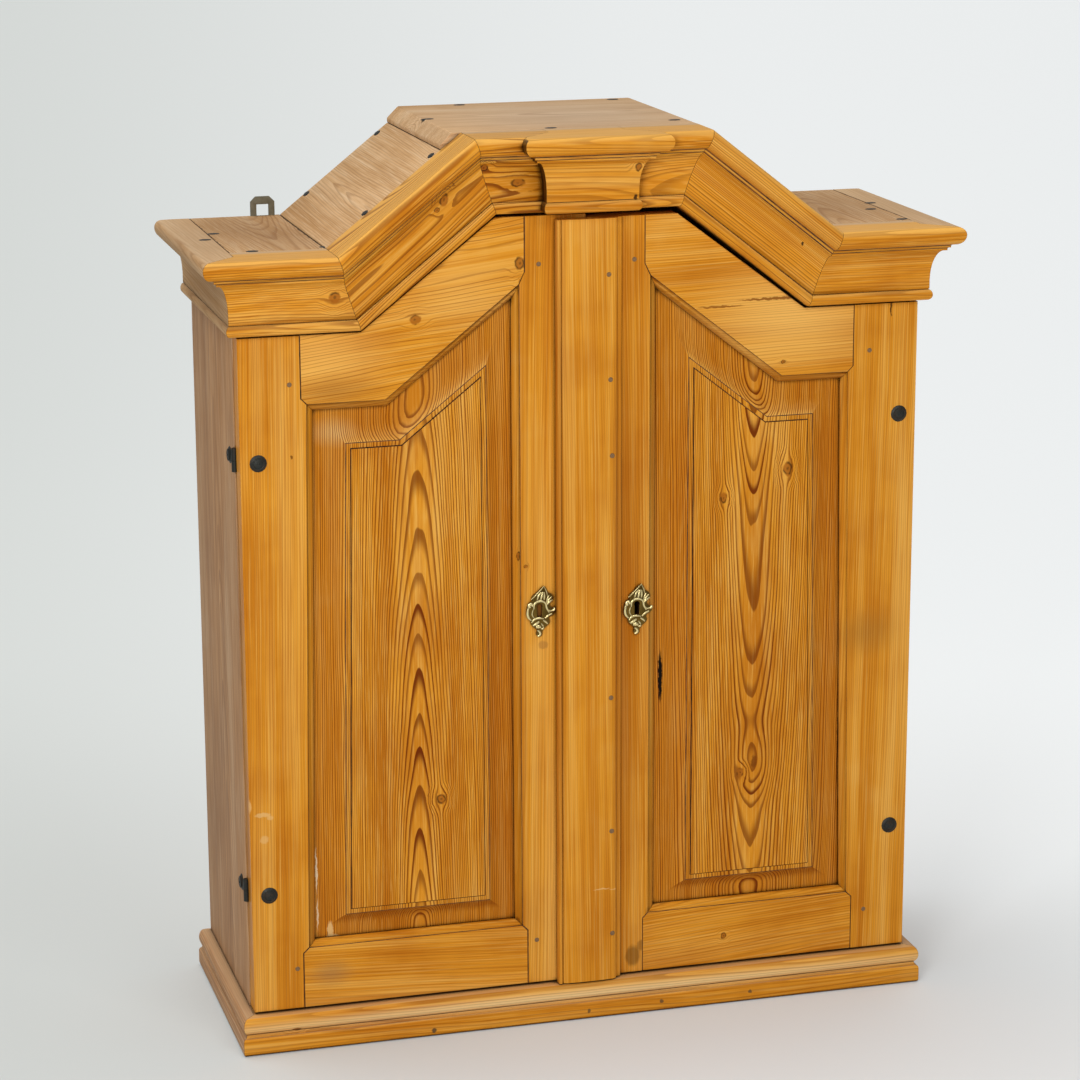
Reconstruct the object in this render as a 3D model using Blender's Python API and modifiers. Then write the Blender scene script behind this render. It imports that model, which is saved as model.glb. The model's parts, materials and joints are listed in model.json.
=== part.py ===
"""A pine wall cupboard: boarded carcass, gabled cornice, plinth, and two panelled doors with their ironwork.

Metres, +Z up, the doors face -Y. The origin is on the floor, at the middle of the cupboard's bounding box.
A depth is measured back from the doors' face, and a reach is measured out from it.
"""
from math import asin, atan2, cos, hypot, pi, sin, tan

import bmesh
import bpy
from mathutils import Matrix, Vector

# Clearances
SEAT_GAP = 0.0003
DOOR_SEAT_GAP = 0.0008
MERGE = 0.000001
FLAT_ANGLE = 0.001

# Carcass
BODY_WIDTH = 0.780
BODY_DEPTH = 0.280
SIDE_THICKNESS = 0.020
RABBET_WIDTH = 0.010
BACK_THICKNESS = 0.012
BOTTOM_THICKNESS = 0.020
SHELF_THICKNESS = 0.018
SHELF_CLEARANCE = 0.005
SHELF_TOPS = {"lower_shelf": 0.330, "upper_shelf": 0.610}
SHELF_HOUSING = 0.006
FRIEZE_THICKNESS = 0.018
FRIEZE_RISE = 0.015
ROOF_THICKNESS = 0.018

# Gable line of the cornice's underside
SHOULDER_HEIGHT = 0.818
GABLE_RISE = 0.119
SHOULDER_BREAK = 0.2548
CROWN_BREAK = 0.1039

# Cornice profile, from its underside up
CORNICE_HEIGHT = 0.086
BEAD_REACH = 0.0125
BEAD_SEAT = 0.007
BEAD_HEIGHT = 0.0135
COVE_FOOT_REACH = 0.009
COVE_FOOT = 0.024
COVE_TOP_REACH = 0.0215
COVE_TOP = 0.0585
LOWER_FILLET_REACH = 0.0235
LOWER_FILLET_TOP = 0.062
UPPER_FILLET_REACH = 0.0265
UPPER_FILLET_TOP = 0.0655
NOSE_SEAT_REACH = 0.0295
NOSE_REACH = 0.040
NOSE_ROUND = 0.0085
BLOCK_PROUD = 0.016
BLOCK_HALF_WIDTH = 0.043

# Plinth profile, from the floor up
PLINTH_HEIGHT = 0.044
PLINTH_REACH = 0.015
PLINTH_FOOT_ROUND = 0.0035
PLINTH_FASCIA = 0.017
PLINTH_QUIRK = 0.0245
PLINTH_QUIRK_REACH = 0.0105
PLINTH_NOSE_ROOT = 0.0085
PLINTH_NOSE_REACH = 0.0145

# Doors
DOOR_THICKNESS = 0.025
DOOR_FOOT_GAP = 0.002
DOOR_EDGE_INSET = 0.001
MEETING_GAP = 0.0015
SHOULDER_GAP = 0.002
SLOPE_GAP = 0.003
CROWN_GAP = {"left_door": 0.0035, "right_door": 0.0085}
OUTER_STILE_FOOT_WIDTH = {"left_door": 0.0715, "right_door": 0.080}
OUTER_STILE_HEAD_WIDTH = {"left_door": 0.082, "right_door": 0.090}
INNER_STILE_WIDTH = {"left_door": 0.0845, "right_door": 0.0805}
TOP_RAIL_WIDTH = 0.086
BOTTOM_RAIL_WIDTH = 0.079
STICKING_WIDTH = 0.0075
JOINT_SETBACK = 0.014
STICKING_DEPTH = 0.0065
STICKING_QUIRK = 0.0009
GROOVE_SETBACK = 0.009
GROOVE_WIDTH = 0.007
GROOVE_DEPTH = 0.010
PANEL_SLACK = 0.0015
PANEL_FIELD_SETBACK = 0.002
PANEL_STEP = 0.0012
PANEL_FILLET = 0.0055
PANEL_HOLLOW = 4
BEVEL_OUTER = {"left_door": 0.041, "right_door": 0.039}
BEVEL_TOP = 0.044
BEVEL_INNER = {"left_door": 0.035, "right_door": 0.044}
BEVEL_BOTTOM = 0.032
TENON_LENGTH = 0.045
TENON_SHOULDER = 0.008

# Cover strip over the meeting edges
STRIP_WIDTH = 0.075
STRIP_OVERLAP = 0.0365
STRIP_THICKNESS = 0.012
STRIP_BEAD = 0.005
STRIP_OGEE = 0.012
STRIP_FOOT_GAP = 0.001

# Hinges: a pintle leaf on each side, an eyed strap on each door
HINGE_HEIGHTS = {"left": {"lower": 0.184, "upper": 0.678}, "right": {"lower": 0.195, "upper": 0.688}}
HINGE_TALL = 0.026
KNUCKLE_RADIUS = 0.0036
KNUCKLE_CLEARANCE = 0.0006
PINTLE_RADIUS = 0.0018
LEAF_THICKNESS = 0.002
LEAF_LENGTH = 0.050
STRAP_LENGTH = 0.052
DOOR_RIVET_SETBACK = 0.021
SIDE_RIVET_SETBACK = 0.027
RIVET_HEAD_RADIUS = 0.0095
RIVET_HEAD_HEIGHT = 0.003
RIVET_SHANK_RADIUS = 0.003

# Escutcheons and lock
ESCUTCHEON_HEIGHT = {"left_door": 0.488, "right_door": 0.482}
ESCUTCHEON_SETBACK = {"left_door": 0.0541, "right_door": 0.0595}
ESCUTCHEON_THICKNESS = 0.0022
KEYHOLE_WIDTH = 0.0054
KEYHOLE_HEAD_RADIUS = 0.0033
KEYHOLE_HEIGHT = 0.016
LOCK_SETBACK = 0.002
LOCK_WIDTH = 0.070
LOCK_TALL = 0.090
LOCK_DEPTH = 0.018
LOCK_WALL = 0.002
BOLT_TALL = 0.022
BOLT_THICKNESS = 0.009
BOLT_LENGTH = 0.048
BOLT_SETBACK = 0.003
BOLT_THROW = 0.012
BOLT_PLAY = 0.0004
KEEPER_WIDTH = 0.022
KEEPER_RIM = 0.005
KEEPER_EAR = 0.011

# Slide bolt inside the left door
DOOR_BOLT_SETBACK = 0.043
DOOR_BOLT_WIDTH = 0.008
DOOR_BOLT_DEPTH = 0.007
DOOR_BOLT_LENGTH = 0.125
DOOR_BOLT_HEAD_GAP = 0.007
DOOR_BOLT_THROW = 0.030
DOOR_BOLT_SOCKET = 0.012
DOOR_BOLT_KNOB_RADIUS = 0.005
DOOR_BOLT_KNOB_LENGTH = 0.012
BOLT_PLATE_THICKNESS = 0.002
BOLT_PLATE_WIDTH = 0.026
BOLT_PLATE_TALL = 0.096
BOLT_GUIDE_TALL = 0.008
BOLT_GUIDE_RIM = 0.0035

# Hanging loops
LOOP_SETBACK = {"left": 0.085, "right": 0.098}
LOOP_WIDTH = 0.028
LOOP_RISE = 0.022
LOOP_DROP = 0.080
LOOP_THICKNESS = 0.003
LOOP_CHAMFER = 0.006
LOOP_RIM = 0.009
LOOP_HOLE_WIDTH = 0.014
LOOP_HOLE_TALL = 0.013

# Facets of round shapes
BEAD_STEPS = 4
COVE_STEPS = 6
NOSE_STEPS = 4
PANEL_STEPS = 6
ROUND_SIDES = 16
SMALL_SIDES = 10

# A rococo cartouche, as the outline of a cast escutcheon, in millimetres about its middle
CARTOUCHE_MM = (
    (4.0, 28.5), (7.5, 22.0), (11.5, 20.0), (14.5, 14.5), (10.0, 9.0), (11.5, 4.5), (16.7, 1.5), (14.0, -4.0),
    (9.0, -7.0), (10.5, -12.5), (5.0, -18.0), (1.5, -22.0), (1.0, -27.0), (-3.0, -28.5), (-5.5, -25.0),
    (-3.5, -21.5), (-7.5, -18.0), (-12.0, -12.5), (-11.0, -8.5), (-15.5, -3.5), (-16.0, 4.5), (-13.5, 11.0),
    (-9.5, 13.5), (-10.5, 17.5), (-5.0, 21.5),
)
KEYHOLE_OFFSET_MM = (-1.5, 2.0)

# Places that follow from the sizes above
HALF_WIDTH = BODY_WIDTH / 2
DOOR_FACE = (NOSE_REACH + BLOCK_PROUD - BODY_DEPTH) / 2
CARCASS_FRONT = DOOR_THICKNESS + DOOR_SEAT_GAP
MOULDING_BACK = CARCASS_FRONT - SEAT_GAP
BACK_FRONT = BODY_DEPTH - BACK_THICKNESS
HINGE_DEPTH = DOOR_THICKNESS + DOOR_SEAT_GAP / 2
SLOPE_RUN = SHOULDER_BREAK - CROWN_BREAK
CROWN_HEIGHT = SHOULDER_HEIGHT + GABLE_RISE
SLOPE_ANGLE = atan2(GABLE_RISE, SLOPE_RUN)
SLOPE_LENGTH = hypot(SLOPE_RUN, GABLE_RISE)
MITRE = tan(SLOPE_ANGLE / 2)
MITRE_EASE = 0.75 * SEAT_GAP
ROOF_UNDER = CORNICE_HEIGHT - ROOF_THICKNESS
DOOR_FOOT = PLINTH_HEIGHT + DOOR_FOOT_GAP
LOCK_HEIGHT = ESCUTCHEON_HEIGHT["right_door"] + KEYHOLE_OFFSET_MM[1] / 1000
BOLT_FRONT = DOOR_THICKNESS + BOLT_SETBACK
INNER_WALL = HALF_WIDTH - SIDE_THICKNESS


def y_at(depth):
    return DOOR_FACE + depth


def clear_scene():
    for thing in list(bpy.data.objects):
        bpy.data.objects.remove(thing, do_unlink=True)


def new_collection(name):
    collection = bpy.data.collections.new(name)
    bpy.context.scene.collection.children.link(collection)
    return collection


def finish(name, colour, roughness, metallic=0.0):
    """A Principled material."""
    material = bpy.data.materials.new(name)
    material.use_nodes = True
    shader = material.node_tree.nodes["Principled BSDF"]
    shader.inputs["Base Color"].default_value = (*colour, 1.0)
    shader.inputs["Roughness"].default_value = roughness
    shader.inputs["Metallic"].default_value = metallic
    return material


clear_scene()
PARTS = new_collection("wall_cupboard")
CUTTERS = new_collection("cutters")
VARNISHED_PINE = finish("varnished_pine", (0.58, 0.25, 0.035), 0.35)
GREYED_PINE = finish("greyed_pine", (0.32, 0.18, 0.10), 0.60)
DUSTY_PINE = finish("dusty_pine", (0.48, 0.32, 0.19), 0.75)
INSIDE_PINE = finish("inside_pine", (0.45, 0.28, 0.13), 0.70)
BLACK_IRON = finish("black_iron", (0.022, 0.022, 0.020), 0.55, 0.9)
OLD_BRASS = finish("old_brass", (0.47, 0.33, 0.09), 0.40, 1.0)


def settled(bm):
    """Ends a bmesh: welds it, turns its faces outwards and gives it back as a mesh."""
    bmesh.ops.remove_doubles(bm, verts=bm.verts, dist=MERGE)
    bmesh.ops.recalc_face_normals(bm, faces=bm.faces)
    mesh = bpy.data.meshes.new("solid")
    bm.to_mesh(mesh)
    bm.free()
    return mesh


def evaluated(holder):
    """The mesh of an object with its modifiers or curve settings, taken once; the object is removed."""
    bpy.context.scene.collection.objects.link(holder)
    bpy.context.view_layer.update()
    mesh = bpy.data.meshes.new_from_object(holder.evaluated_get(bpy.context.evaluated_depsgraph_get()))
    bpy.data.objects.remove(holder, do_unlink=True)
    return mesh


def flat_solid(outline, low, high, plane, holes=(), smooth_steps=0):
    """A flat outline carried from low to high: plane "xz" runs along depth, plane "xy" runs up."""
    curve = bpy.data.curves.new("outline", "CURVE")
    curve.dimensions = "2D"
    curve.fill_mode = "BOTH"
    curve.extrude = (high - low) / 2
    for ring, steps in [(outline, smooth_steps)] + [(hole, 0) for hole in holes]:
        if steps:
            curve.resolution_u = steps
            spline = curve.splines.new("BEZIER")
            spline.bezier_points.add(len(ring) - 1)
            for knot, (a, b) in zip(spline.bezier_points, ring):
                knot.co = (a, b, 0)
                knot.handle_left_type = "AUTO"
                knot.handle_right_type = "AUTO"
        else:
            spline = curve.splines.new("POLY")
            spline.points.add(len(ring) - 1)
            for knot, (a, b) in zip(spline.points, ring):
                knot.co = (a, b, 0, 1)
        spline.use_cyclic_u = True
    bm = bmesh.new()
    bm.from_mesh(evaluated(bpy.data.objects.new("outline", curve)))
    middle = (low + high) / 2
    if plane == "xz":
        place = Matrix.Translation((0, middle, 0)) @ Matrix.Rotation(pi / 2, 4, "X")
    else:
        place = Matrix.Translation((0, 0, middle))
    bmesh.ops.transform(bm, matrix=place, verts=bm.verts)
    bmesh.ops.remove_doubles(bm, verts=bm.verts, dist=MERGE)
    bmesh.ops.dissolve_limit(bm, angle_limit=FLAT_ANGLE, verts=bm.verts, edges=bm.edges)
    return settled(bm)


def elevation(outline, front, back, **options):
    """A board drawn as seen from the front, between two depths."""
    return flat_solid(outline, y_at(front), y_at(back), "xz", **options)


def plan(outline, low, high):
    """A post drawn as seen from above, as (x, depth), between two heights."""
    return flat_solid([(x, y_at(depth)) for x, depth in outline], low, high, "xy")


def box(x_span, depth_span, z_span):
    """A plain box between two limits on each axis, in any order."""
    spans = [sorted(x_span), sorted(y_at(depth) for depth in depth_span), sorted(z_span)]
    bm = bmesh.new()
    size = [high - low for low, high in spans]
    middle = [(low + high) / 2 for low, high in spans]
    bmesh.ops.create_cube(bm, size=1, matrix=Matrix.Translation(middle) @ Matrix.Diagonal((*size, 1)))
    return settled(bm)


def rod(start, end, radius, sides=ROUND_SIDES):
    """A round bar between two points given as (x, depth, z)."""
    a, b = (Vector((x, y_at(depth), z)) for x, depth, z in (start, end))
    turn = (b - a).to_track_quat("Z", "Y").to_matrix().to_4x4()
    place = Matrix.Translation((a + b) / 2) @ turn
    bm = bmesh.new()
    bmesh.ops.create_cone(bm, cap_ends=True, segments=sides, radius1=radius, radius2=radius,
                          depth=(b - a).length, matrix=place)
    return settled(bm)


def turned(profile, sides):
    """A profile of (radius, height) points, top to bottom on its outer side, turned about Z."""
    mesh = bpy.data.meshes.new("profile")
    edges = [(i, i + 1) for i in range(len(profile) - 1)]
    mesh.from_pydata([(radius, 0, height) for radius, height in profile], edges, [])
    holder = bpy.data.objects.new("profile", mesh)
    screw = holder.modifiers.new("turn", "SCREW")
    screw.axis = "Z"
    screw.steps = sides
    screw.render_steps = sides
    screw.use_merge_vertices = True
    screw.merge_threshold = MERGE
    bm = bmesh.new()
    bm.from_mesh(evaluated(holder))
    return settled(bm)


def stack(rings, closed=False):
    """A solid through rings of points: each ring is joined to the next, and the ends are capped or joined."""
    bm = bmesh.new()
    loops = [[bm.verts.new(point) for point in ring] for ring in rings]
    pairs = list(zip(loops, loops[1:]))
    if closed:
        pairs.append((loops[-1], loops[0]))
    else:
        bm.faces.new(loops[0])
        bm.faces.new(loops[-1])
    for low, high in pairs:
        for i, corner in enumerate(low):
            j = (i + 1) % len(low)
            bm.faces.new((corner, low[j], high[j], high[i]))
    return settled(bm)


def node(name, mesh, material, carrier=None):
    """One named piece of the cupboard, riding on a carrier empty if it moves."""
    mesh.name = name
    mesh.materials.clear()
    mesh.materials.append(material)
    thing = bpy.data.objects.new(name, mesh)
    PARTS.objects.link(thing)
    if carrier:
        thing.parent = carrier
        thing.matrix_parent_inverse = Matrix.Translation(-carrier.location)
    return thing


def helper(name, mesh):
    """A solid that only cuts or adds to others."""
    thing = bpy.data.objects.new(name, mesh)
    CUTTERS.objects.link(thing)
    thing.hide_render = True
    thing.display_type = "WIRE"
    return thing


def shape(thing, operation, *tools):
    for tool in tools:
        modifier = thing.modifiers.new(tool.name, "BOOLEAN")
        modifier.operation = operation
        modifier.object = tool
        modifier.solver = "EXACT"


def cut(thing, *tools):
    shape(thing, "DIFFERENCE", *tools)


def add(thing, *tools):
    shape(thing, "UNION", *tools)


def shade_round(thing):
    thing.data.shade_smooth()
    thing.data.set_sharp_from_angle(angle=pi / 5)


def pivot(name, x):
    """An empty on a door's hinge axis."""
    empty = bpy.data.objects.new(name, None)
    empty.location = (x, y_at(HINGE_DEPTH), DOOR_FOOT)
    PARTS.objects.link(empty)
    return empty


def arc(centre, radii, start, end, steps):
    """Points on an ellipse about a centre, between two angles."""
    turns = [start + (end - start) * i / steps for i in range(steps + 1)]
    return [(centre[0] + radii[0] * cos(turn), centre[1] + radii[1] * sin(turn)) for turn in turns]


def offset_edges(points, distances):
    """Moves each edge of an outline outwards by its own distance; edge i starts at point i."""
    count = len(points)
    area = sum(points[i - 1][0] * points[i][1] - points[i][0] * points[i - 1][1] for i in range(count))
    way = 1 if area > 0 else -1
    lines = []
    for i, distance in enumerate(distances):
        start, end = Vector(points[i]), Vector(points[(i + 1) % count])
        along = (end - start).normalized()
        lines.append((start + way * distance * Vector((along.y, -along.x)), along))
    corners = []
    for i in range(count):
        (p, a), (q, b) = lines[i - 1], lines[i]
        step = (q - p).cross(b) / a.cross(b)
        corners.append(tuple(p + step * a))
    return corners


def offset(points, distance):
    return offset_edges(points, [distance] * len(points))


def roofline(rise):
    """The gable's two corners on the +X side, at a height above the cornice's underside."""
    shift = rise * MITRE
    return (SHOULDER_BREAK + shift, SHOULDER_HEIGHT + rise), (CROWN_BREAK + shift, CROWN_HEIGHT + rise)


def gable(low_points, half_width):
    """An outline from given low points, left to right, up to the underside of the roof boards."""
    foot, head = roofline(ROOF_UNDER - SEAT_GAP)
    half = [(half_width, foot[1]), foot, head]
    return low_points + half + mirrored(half[::-1], -1)


def mirrored(points, side):
    return [(side * a, b) for a, b in points]


# Profiles, each a list of (reach, height)
def cornice_profile():
    half_bead = BEAD_HEIGHT / 2
    nose_middle = CORNICE_HEIGHT - NOSE_ROUND
    points = arc((BEAD_SEAT, half_bead), (BEAD_REACH - BEAD_SEAT, half_bead), -pi / 2, pi / 2, BEAD_STEPS)
    points += [(COVE_FOOT_REACH, BEAD_HEIGHT)]
    cove = arc((COVE_TOP_REACH, COVE_FOOT), (COVE_TOP_REACH - COVE_FOOT_REACH, COVE_TOP - COVE_FOOT), pi, pi / 2,
               COVE_STEPS)
    points += cove + [(LOWER_FILLET_REACH, COVE_TOP), (LOWER_FILLET_REACH, LOWER_FILLET_TOP)]
    points += [(UPPER_FILLET_REACH, LOWER_FILLET_TOP), (UPPER_FILLET_REACH, UPPER_FILLET_TOP)]
    points += [(NOSE_SEAT_REACH, UPPER_FILLET_TOP)]
    nose_radii = (NOSE_REACH - NOSE_SEAT_REACH, nose_middle - UPPER_FILLET_TOP)
    lower = arc((NOSE_SEAT_REACH, nose_middle), nose_radii, -pi / 2, 0, NOSE_STEPS)
    upper = arc((NOSE_REACH - NOSE_ROUND, nose_middle), (NOSE_ROUND, NOSE_ROUND), 0, pi / 2, NOSE_STEPS)
    return points + lower[1:] + upper[1:]


def plinth_profile():
    nose_half = (PLINTH_HEIGHT - PLINTH_QUIRK) / 2
    foot_middle = (PLINTH_REACH - PLINTH_FOOT_ROUND, PLINTH_FOOT_ROUND)
    points = arc(foot_middle, (PLINTH_FOOT_ROUND, PLINTH_FOOT_ROUND), -pi / 2, 0, BEAD_STEPS)
    step = (PLINTH_REACH - PLINTH_QUIRK_REACH) / 2
    rise = (PLINTH_QUIRK - PLINTH_FASCIA) / 2
    points += arc((PLINTH_REACH - step, PLINTH_FASCIA), (step, rise), 0, pi / 2, BEAD_STEPS)
    hollow = arc((PLINTH_REACH - step, PLINTH_QUIRK), (step, rise), 3 * pi / 2, pi, BEAD_STEPS)
    nose = arc((PLINTH_NOSE_ROOT, PLINTH_QUIRK + nose_half), (PLINTH_NOSE_REACH - PLINTH_NOSE_ROOT, nose_half),
               -pi / 2, pi / 2, 2 * NOSE_STEPS)
    return points + hollow[1:] + nose


def level(points, height):
    """A ring at one height from (x, depth) points."""
    return [(x, y_at(depth), height) for x, depth in points]


def front_levels(profile, side, inner_end, base):
    """A front moulding on one side, from its inner end out to the corner mitre with the return."""
    corner = HALF_WIDTH - MITRE_EASE
    rings = []
    for reach, height in profile:
        points = [(inner_end(height), -reach), (corner + reach, -reach), (corner, 0), (corner, MOULDING_BACK),
                  (inner_end(height), MOULDING_BACK)]
        rings.append(level(mirrored(points, side), base + height))
    return rings


def return_levels(profile, side, base):
    """A moulding along a side, from the corner mitre to the back."""
    wall = HALF_WIDTH + SEAT_GAP
    rings = []
    for reach, height in profile:
        end = HALF_WIDTH + reach
        points = [(wall, MITRE_EASE - SEAT_GAP), (end, MITRE_EASE - reach), (end, BODY_DEPTH), (wall, BODY_DEPTH)]
        rings.append(level(mirrored(points, side), base + height))
    return rings


def slope_point(side, along, rise, depth):
    """A point above the sloping part of the gable line, by distance along it and height square to it."""
    x = SHOULDER_BREAK - along * cos(SLOPE_ANGLE) + rise * sin(SLOPE_ANGLE)
    z = SHOULDER_HEIGHT + along * sin(SLOPE_ANGLE) + rise * cos(SLOPE_ANGLE)
    return (side * x, y_at(depth), z)


def build_carcass():
    inner = INNER_WALL - SEAT_GAP
    shelf_back = BACK_FRONT - SEAT_GAP
    side_top = SHOULDER_HEIGHT + ROOF_UNDER - SEAT_GAP
    pieces = {}
    for name, side in (("left_side", -1), ("right_side", 1)):
        outline = [(INNER_WALL, CARCASS_FRONT), (HALF_WIDTH, CARCASS_FRONT), (HALF_WIDTH, BODY_DEPTH),
                   (HALF_WIDTH - RABBET_WIDTH, BODY_DEPTH), (HALF_WIDTH - RABBET_WIDTH, shelf_back),
                   (INNER_WALL, shelf_back)]
        pieces[name] = node(name, plan(mirrored(outline, side), 0, side_top), GREYED_PINE)
    node("bottom_board", box((-inner, inner), (CARCASS_FRONT, shelf_back),
                             (PLINTH_HEIGHT - BOTTOM_THICKNESS, PLINTH_HEIGHT)), INSIDE_PINE)
    shelf_front = CARCASS_FRONT + LEAF_LENGTH + SHELF_CLEARANCE
    shelf_half = inner + SHELF_HOUSING
    for name, top in SHELF_TOPS.items():
        under = top - SHELF_THICKNESS
        node(name, box((-shelf_half, shelf_half), (shelf_front, shelf_back), (under, top)), INSIDE_PINE)
        housing = box((-shelf_half - SEAT_GAP, shelf_half + SEAT_GAP), (shelf_front - SEAT_GAP, BODY_DEPTH),
                      (under - SEAT_GAP, top + SEAT_GAP))
        housing = helper(f"cut_{name}_housing", housing)
        cut(pieces["left_side"], housing)
        cut(pieces["right_side"], housing)

    back_half = HALF_WIDTH - RABBET_WIDTH - SEAT_GAP
    outline = gable([(-back_half, 0), (back_half, 0)], back_half)
    pieces["back_panel"] = node("back_panel", elevation(outline, BACK_FRONT, BODY_DEPTH), INSIDE_PINE)

    foot, head = roofline(FRIEZE_RISE)
    low_edge = [(-inner, foot[1]), (-foot[0], foot[1]), (-head[0], head[1]), head, foot, (inner, foot[1])]
    outline = gable(low_edge, inner)
    frieze = elevation(outline, CARCASS_FRONT, CARCASS_FRONT + FRIEZE_THICKNESS)
    pieces["frieze_board"] = node("frieze_board", frieze, INSIDE_PINE)
    return pieces


def build_roof():
    pieces = {}
    top, under = CORNICE_HEIGHT, ROOF_UNDER
    foot, head = roofline(top)
    foot_under, head_under = roofline(under)
    ease = MITRE_EASE
    lap_height = GABLE_RISE + under - SEAT_GAP
    lap_top = (lap_height - top * cos(SLOPE_ANGLE)) / sin(SLOPE_ANGLE)
    lap_under = (lap_height - under * cos(SLOPE_ANGLE)) / sin(SLOPE_ANGLE)
    lap_x = slope_point(-1, lap_top, top, 0)[0]
    ends = {-1: (lap_top, lap_under),
            1: (SLOPE_LENGTH + top * MITRE - ease, SLOPE_LENGTH + under * MITRE - ease)}
    for word, side in (("left", -1), ("right", 1)):
        shoulder = [(foot[0] + ease, foot[1]), (HALF_WIDTH, foot[1]), (HALF_WIDTH, foot_under[1]),
                    (foot_under[0] + ease, foot_under[1])]
        name = f"{word}_shoulder_roof_board"
        pieces[name] = node(name, elevation(mirrored(shoulder, side), CARCASS_FRONT, BODY_DEPTH), DUSTY_PINE)
        corners = [(top * MITRE + ease, top), (ends[side][0], top), (ends[side][1], under),
                   (under * MITRE + ease, under)]
        slope = [slope_point(side, along, rise, 0) for along, rise in corners]
        name = f"{word}_slope_roof_board"
        pieces[name] = node(name, elevation([(x, z) for x, _, z in slope], CARCASS_FRONT, BODY_DEPTH), DUSTY_PINE)
    crown = [(lap_x, head_under[1]), (head_under[0] - ease, head_under[1]), (head[0] - ease, head[1]),
             (lap_x, head[1])]
    name = "crown_roof_board"
    pieces[name] = node(name, elevation(crown, CARCASS_FRONT, BODY_DEPTH), DUSTY_PINE)
    return pieces


def build_cornice():
    profile = cornice_profile()
    ease = MITRE_EASE
    for word, side in (("left", -1), ("right", 1)):
        rings = front_levels(profile, side, lambda rise: SHOULDER_BREAK + rise * MITRE + ease, SHOULDER_HEIGHT)
        node(f"cornice_{word}_shoulder", stack(rings), VARNISHED_PINE)
        node(f"cornice_{word}_return", stack(return_levels(profile, side, SHOULDER_HEIGHT)), DUSTY_PINE)
        rings = []
        for reach, rise in profile:
            start, end = rise * MITRE + ease, SLOPE_LENGTH + rise * MITRE - ease
            spots = [(start, -reach), (end, -reach), (end, MOULDING_BACK), (start, MOULDING_BACK)]
            rings.append([slope_point(side, along, rise, depth) for along, depth in spots])
        node(f"cornice_{word}_slope", stack(rings), VARNISHED_PINE)
        rings = []
        for reach, rise in profile:
            start, end = BLOCK_HALF_WIDTH + SEAT_GAP, CROWN_BREAK + rise * MITRE - ease
            points = [(start + reach, -reach), (end, -reach), (end, MOULDING_BACK), (start, MOULDING_BACK), (start, 0)]
            rings.append(level(mirrored(points, side), CROWN_HEIGHT + rise))
        node(f"cornice_{word}_crown", stack(rings), VARNISHED_PINE)
    rings = []
    for reach, rise in profile:
        end, front = BLOCK_HALF_WIDTH + reach, -reach - BLOCK_PROUD
        half = [(end, front), (end, -reach - ease), (BLOCK_HALF_WIDTH, -ease), (BLOCK_HALF_WIDTH, MOULDING_BACK)]
        rings.append(level(half + mirrored(half[::-1], -1), CROWN_HEIGHT + rise))
    node("cornice_crown_block", stack(rings), VARNISHED_PINE)


def build_plinth():
    profile = plinth_profile()
    corner = HALF_WIDTH - MITRE_EASE
    rings = []
    for reach, height in profile:
        half = [(corner + reach, -reach), (corner, 0), (corner, MOULDING_BACK)]
        rings.append(level(half + mirrored(half[::-1], -1), height))
    node("plinth_front", stack(rings), VARNISHED_PINE)
    for word, side in (("left", -1), ("right", 1)):
        node(f"plinth_{word}", stack(return_levels(profile, side, 0)), GREYED_PINE)


def loop_cutter(name, corners, section, side):
    """A section of (outward distance, depth) points swept round a door's opening, mitred at its corners."""
    rings = []
    swept = [offset(corners, distance) for distance, _ in section]
    for i in range(len(corners)):
        rings.append([(side * ring[i][0], y_at(depth), ring[i][1]) for ring, (_, depth) in zip(swept, section)])
    return helper(name, stack(rings, closed=True))


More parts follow.
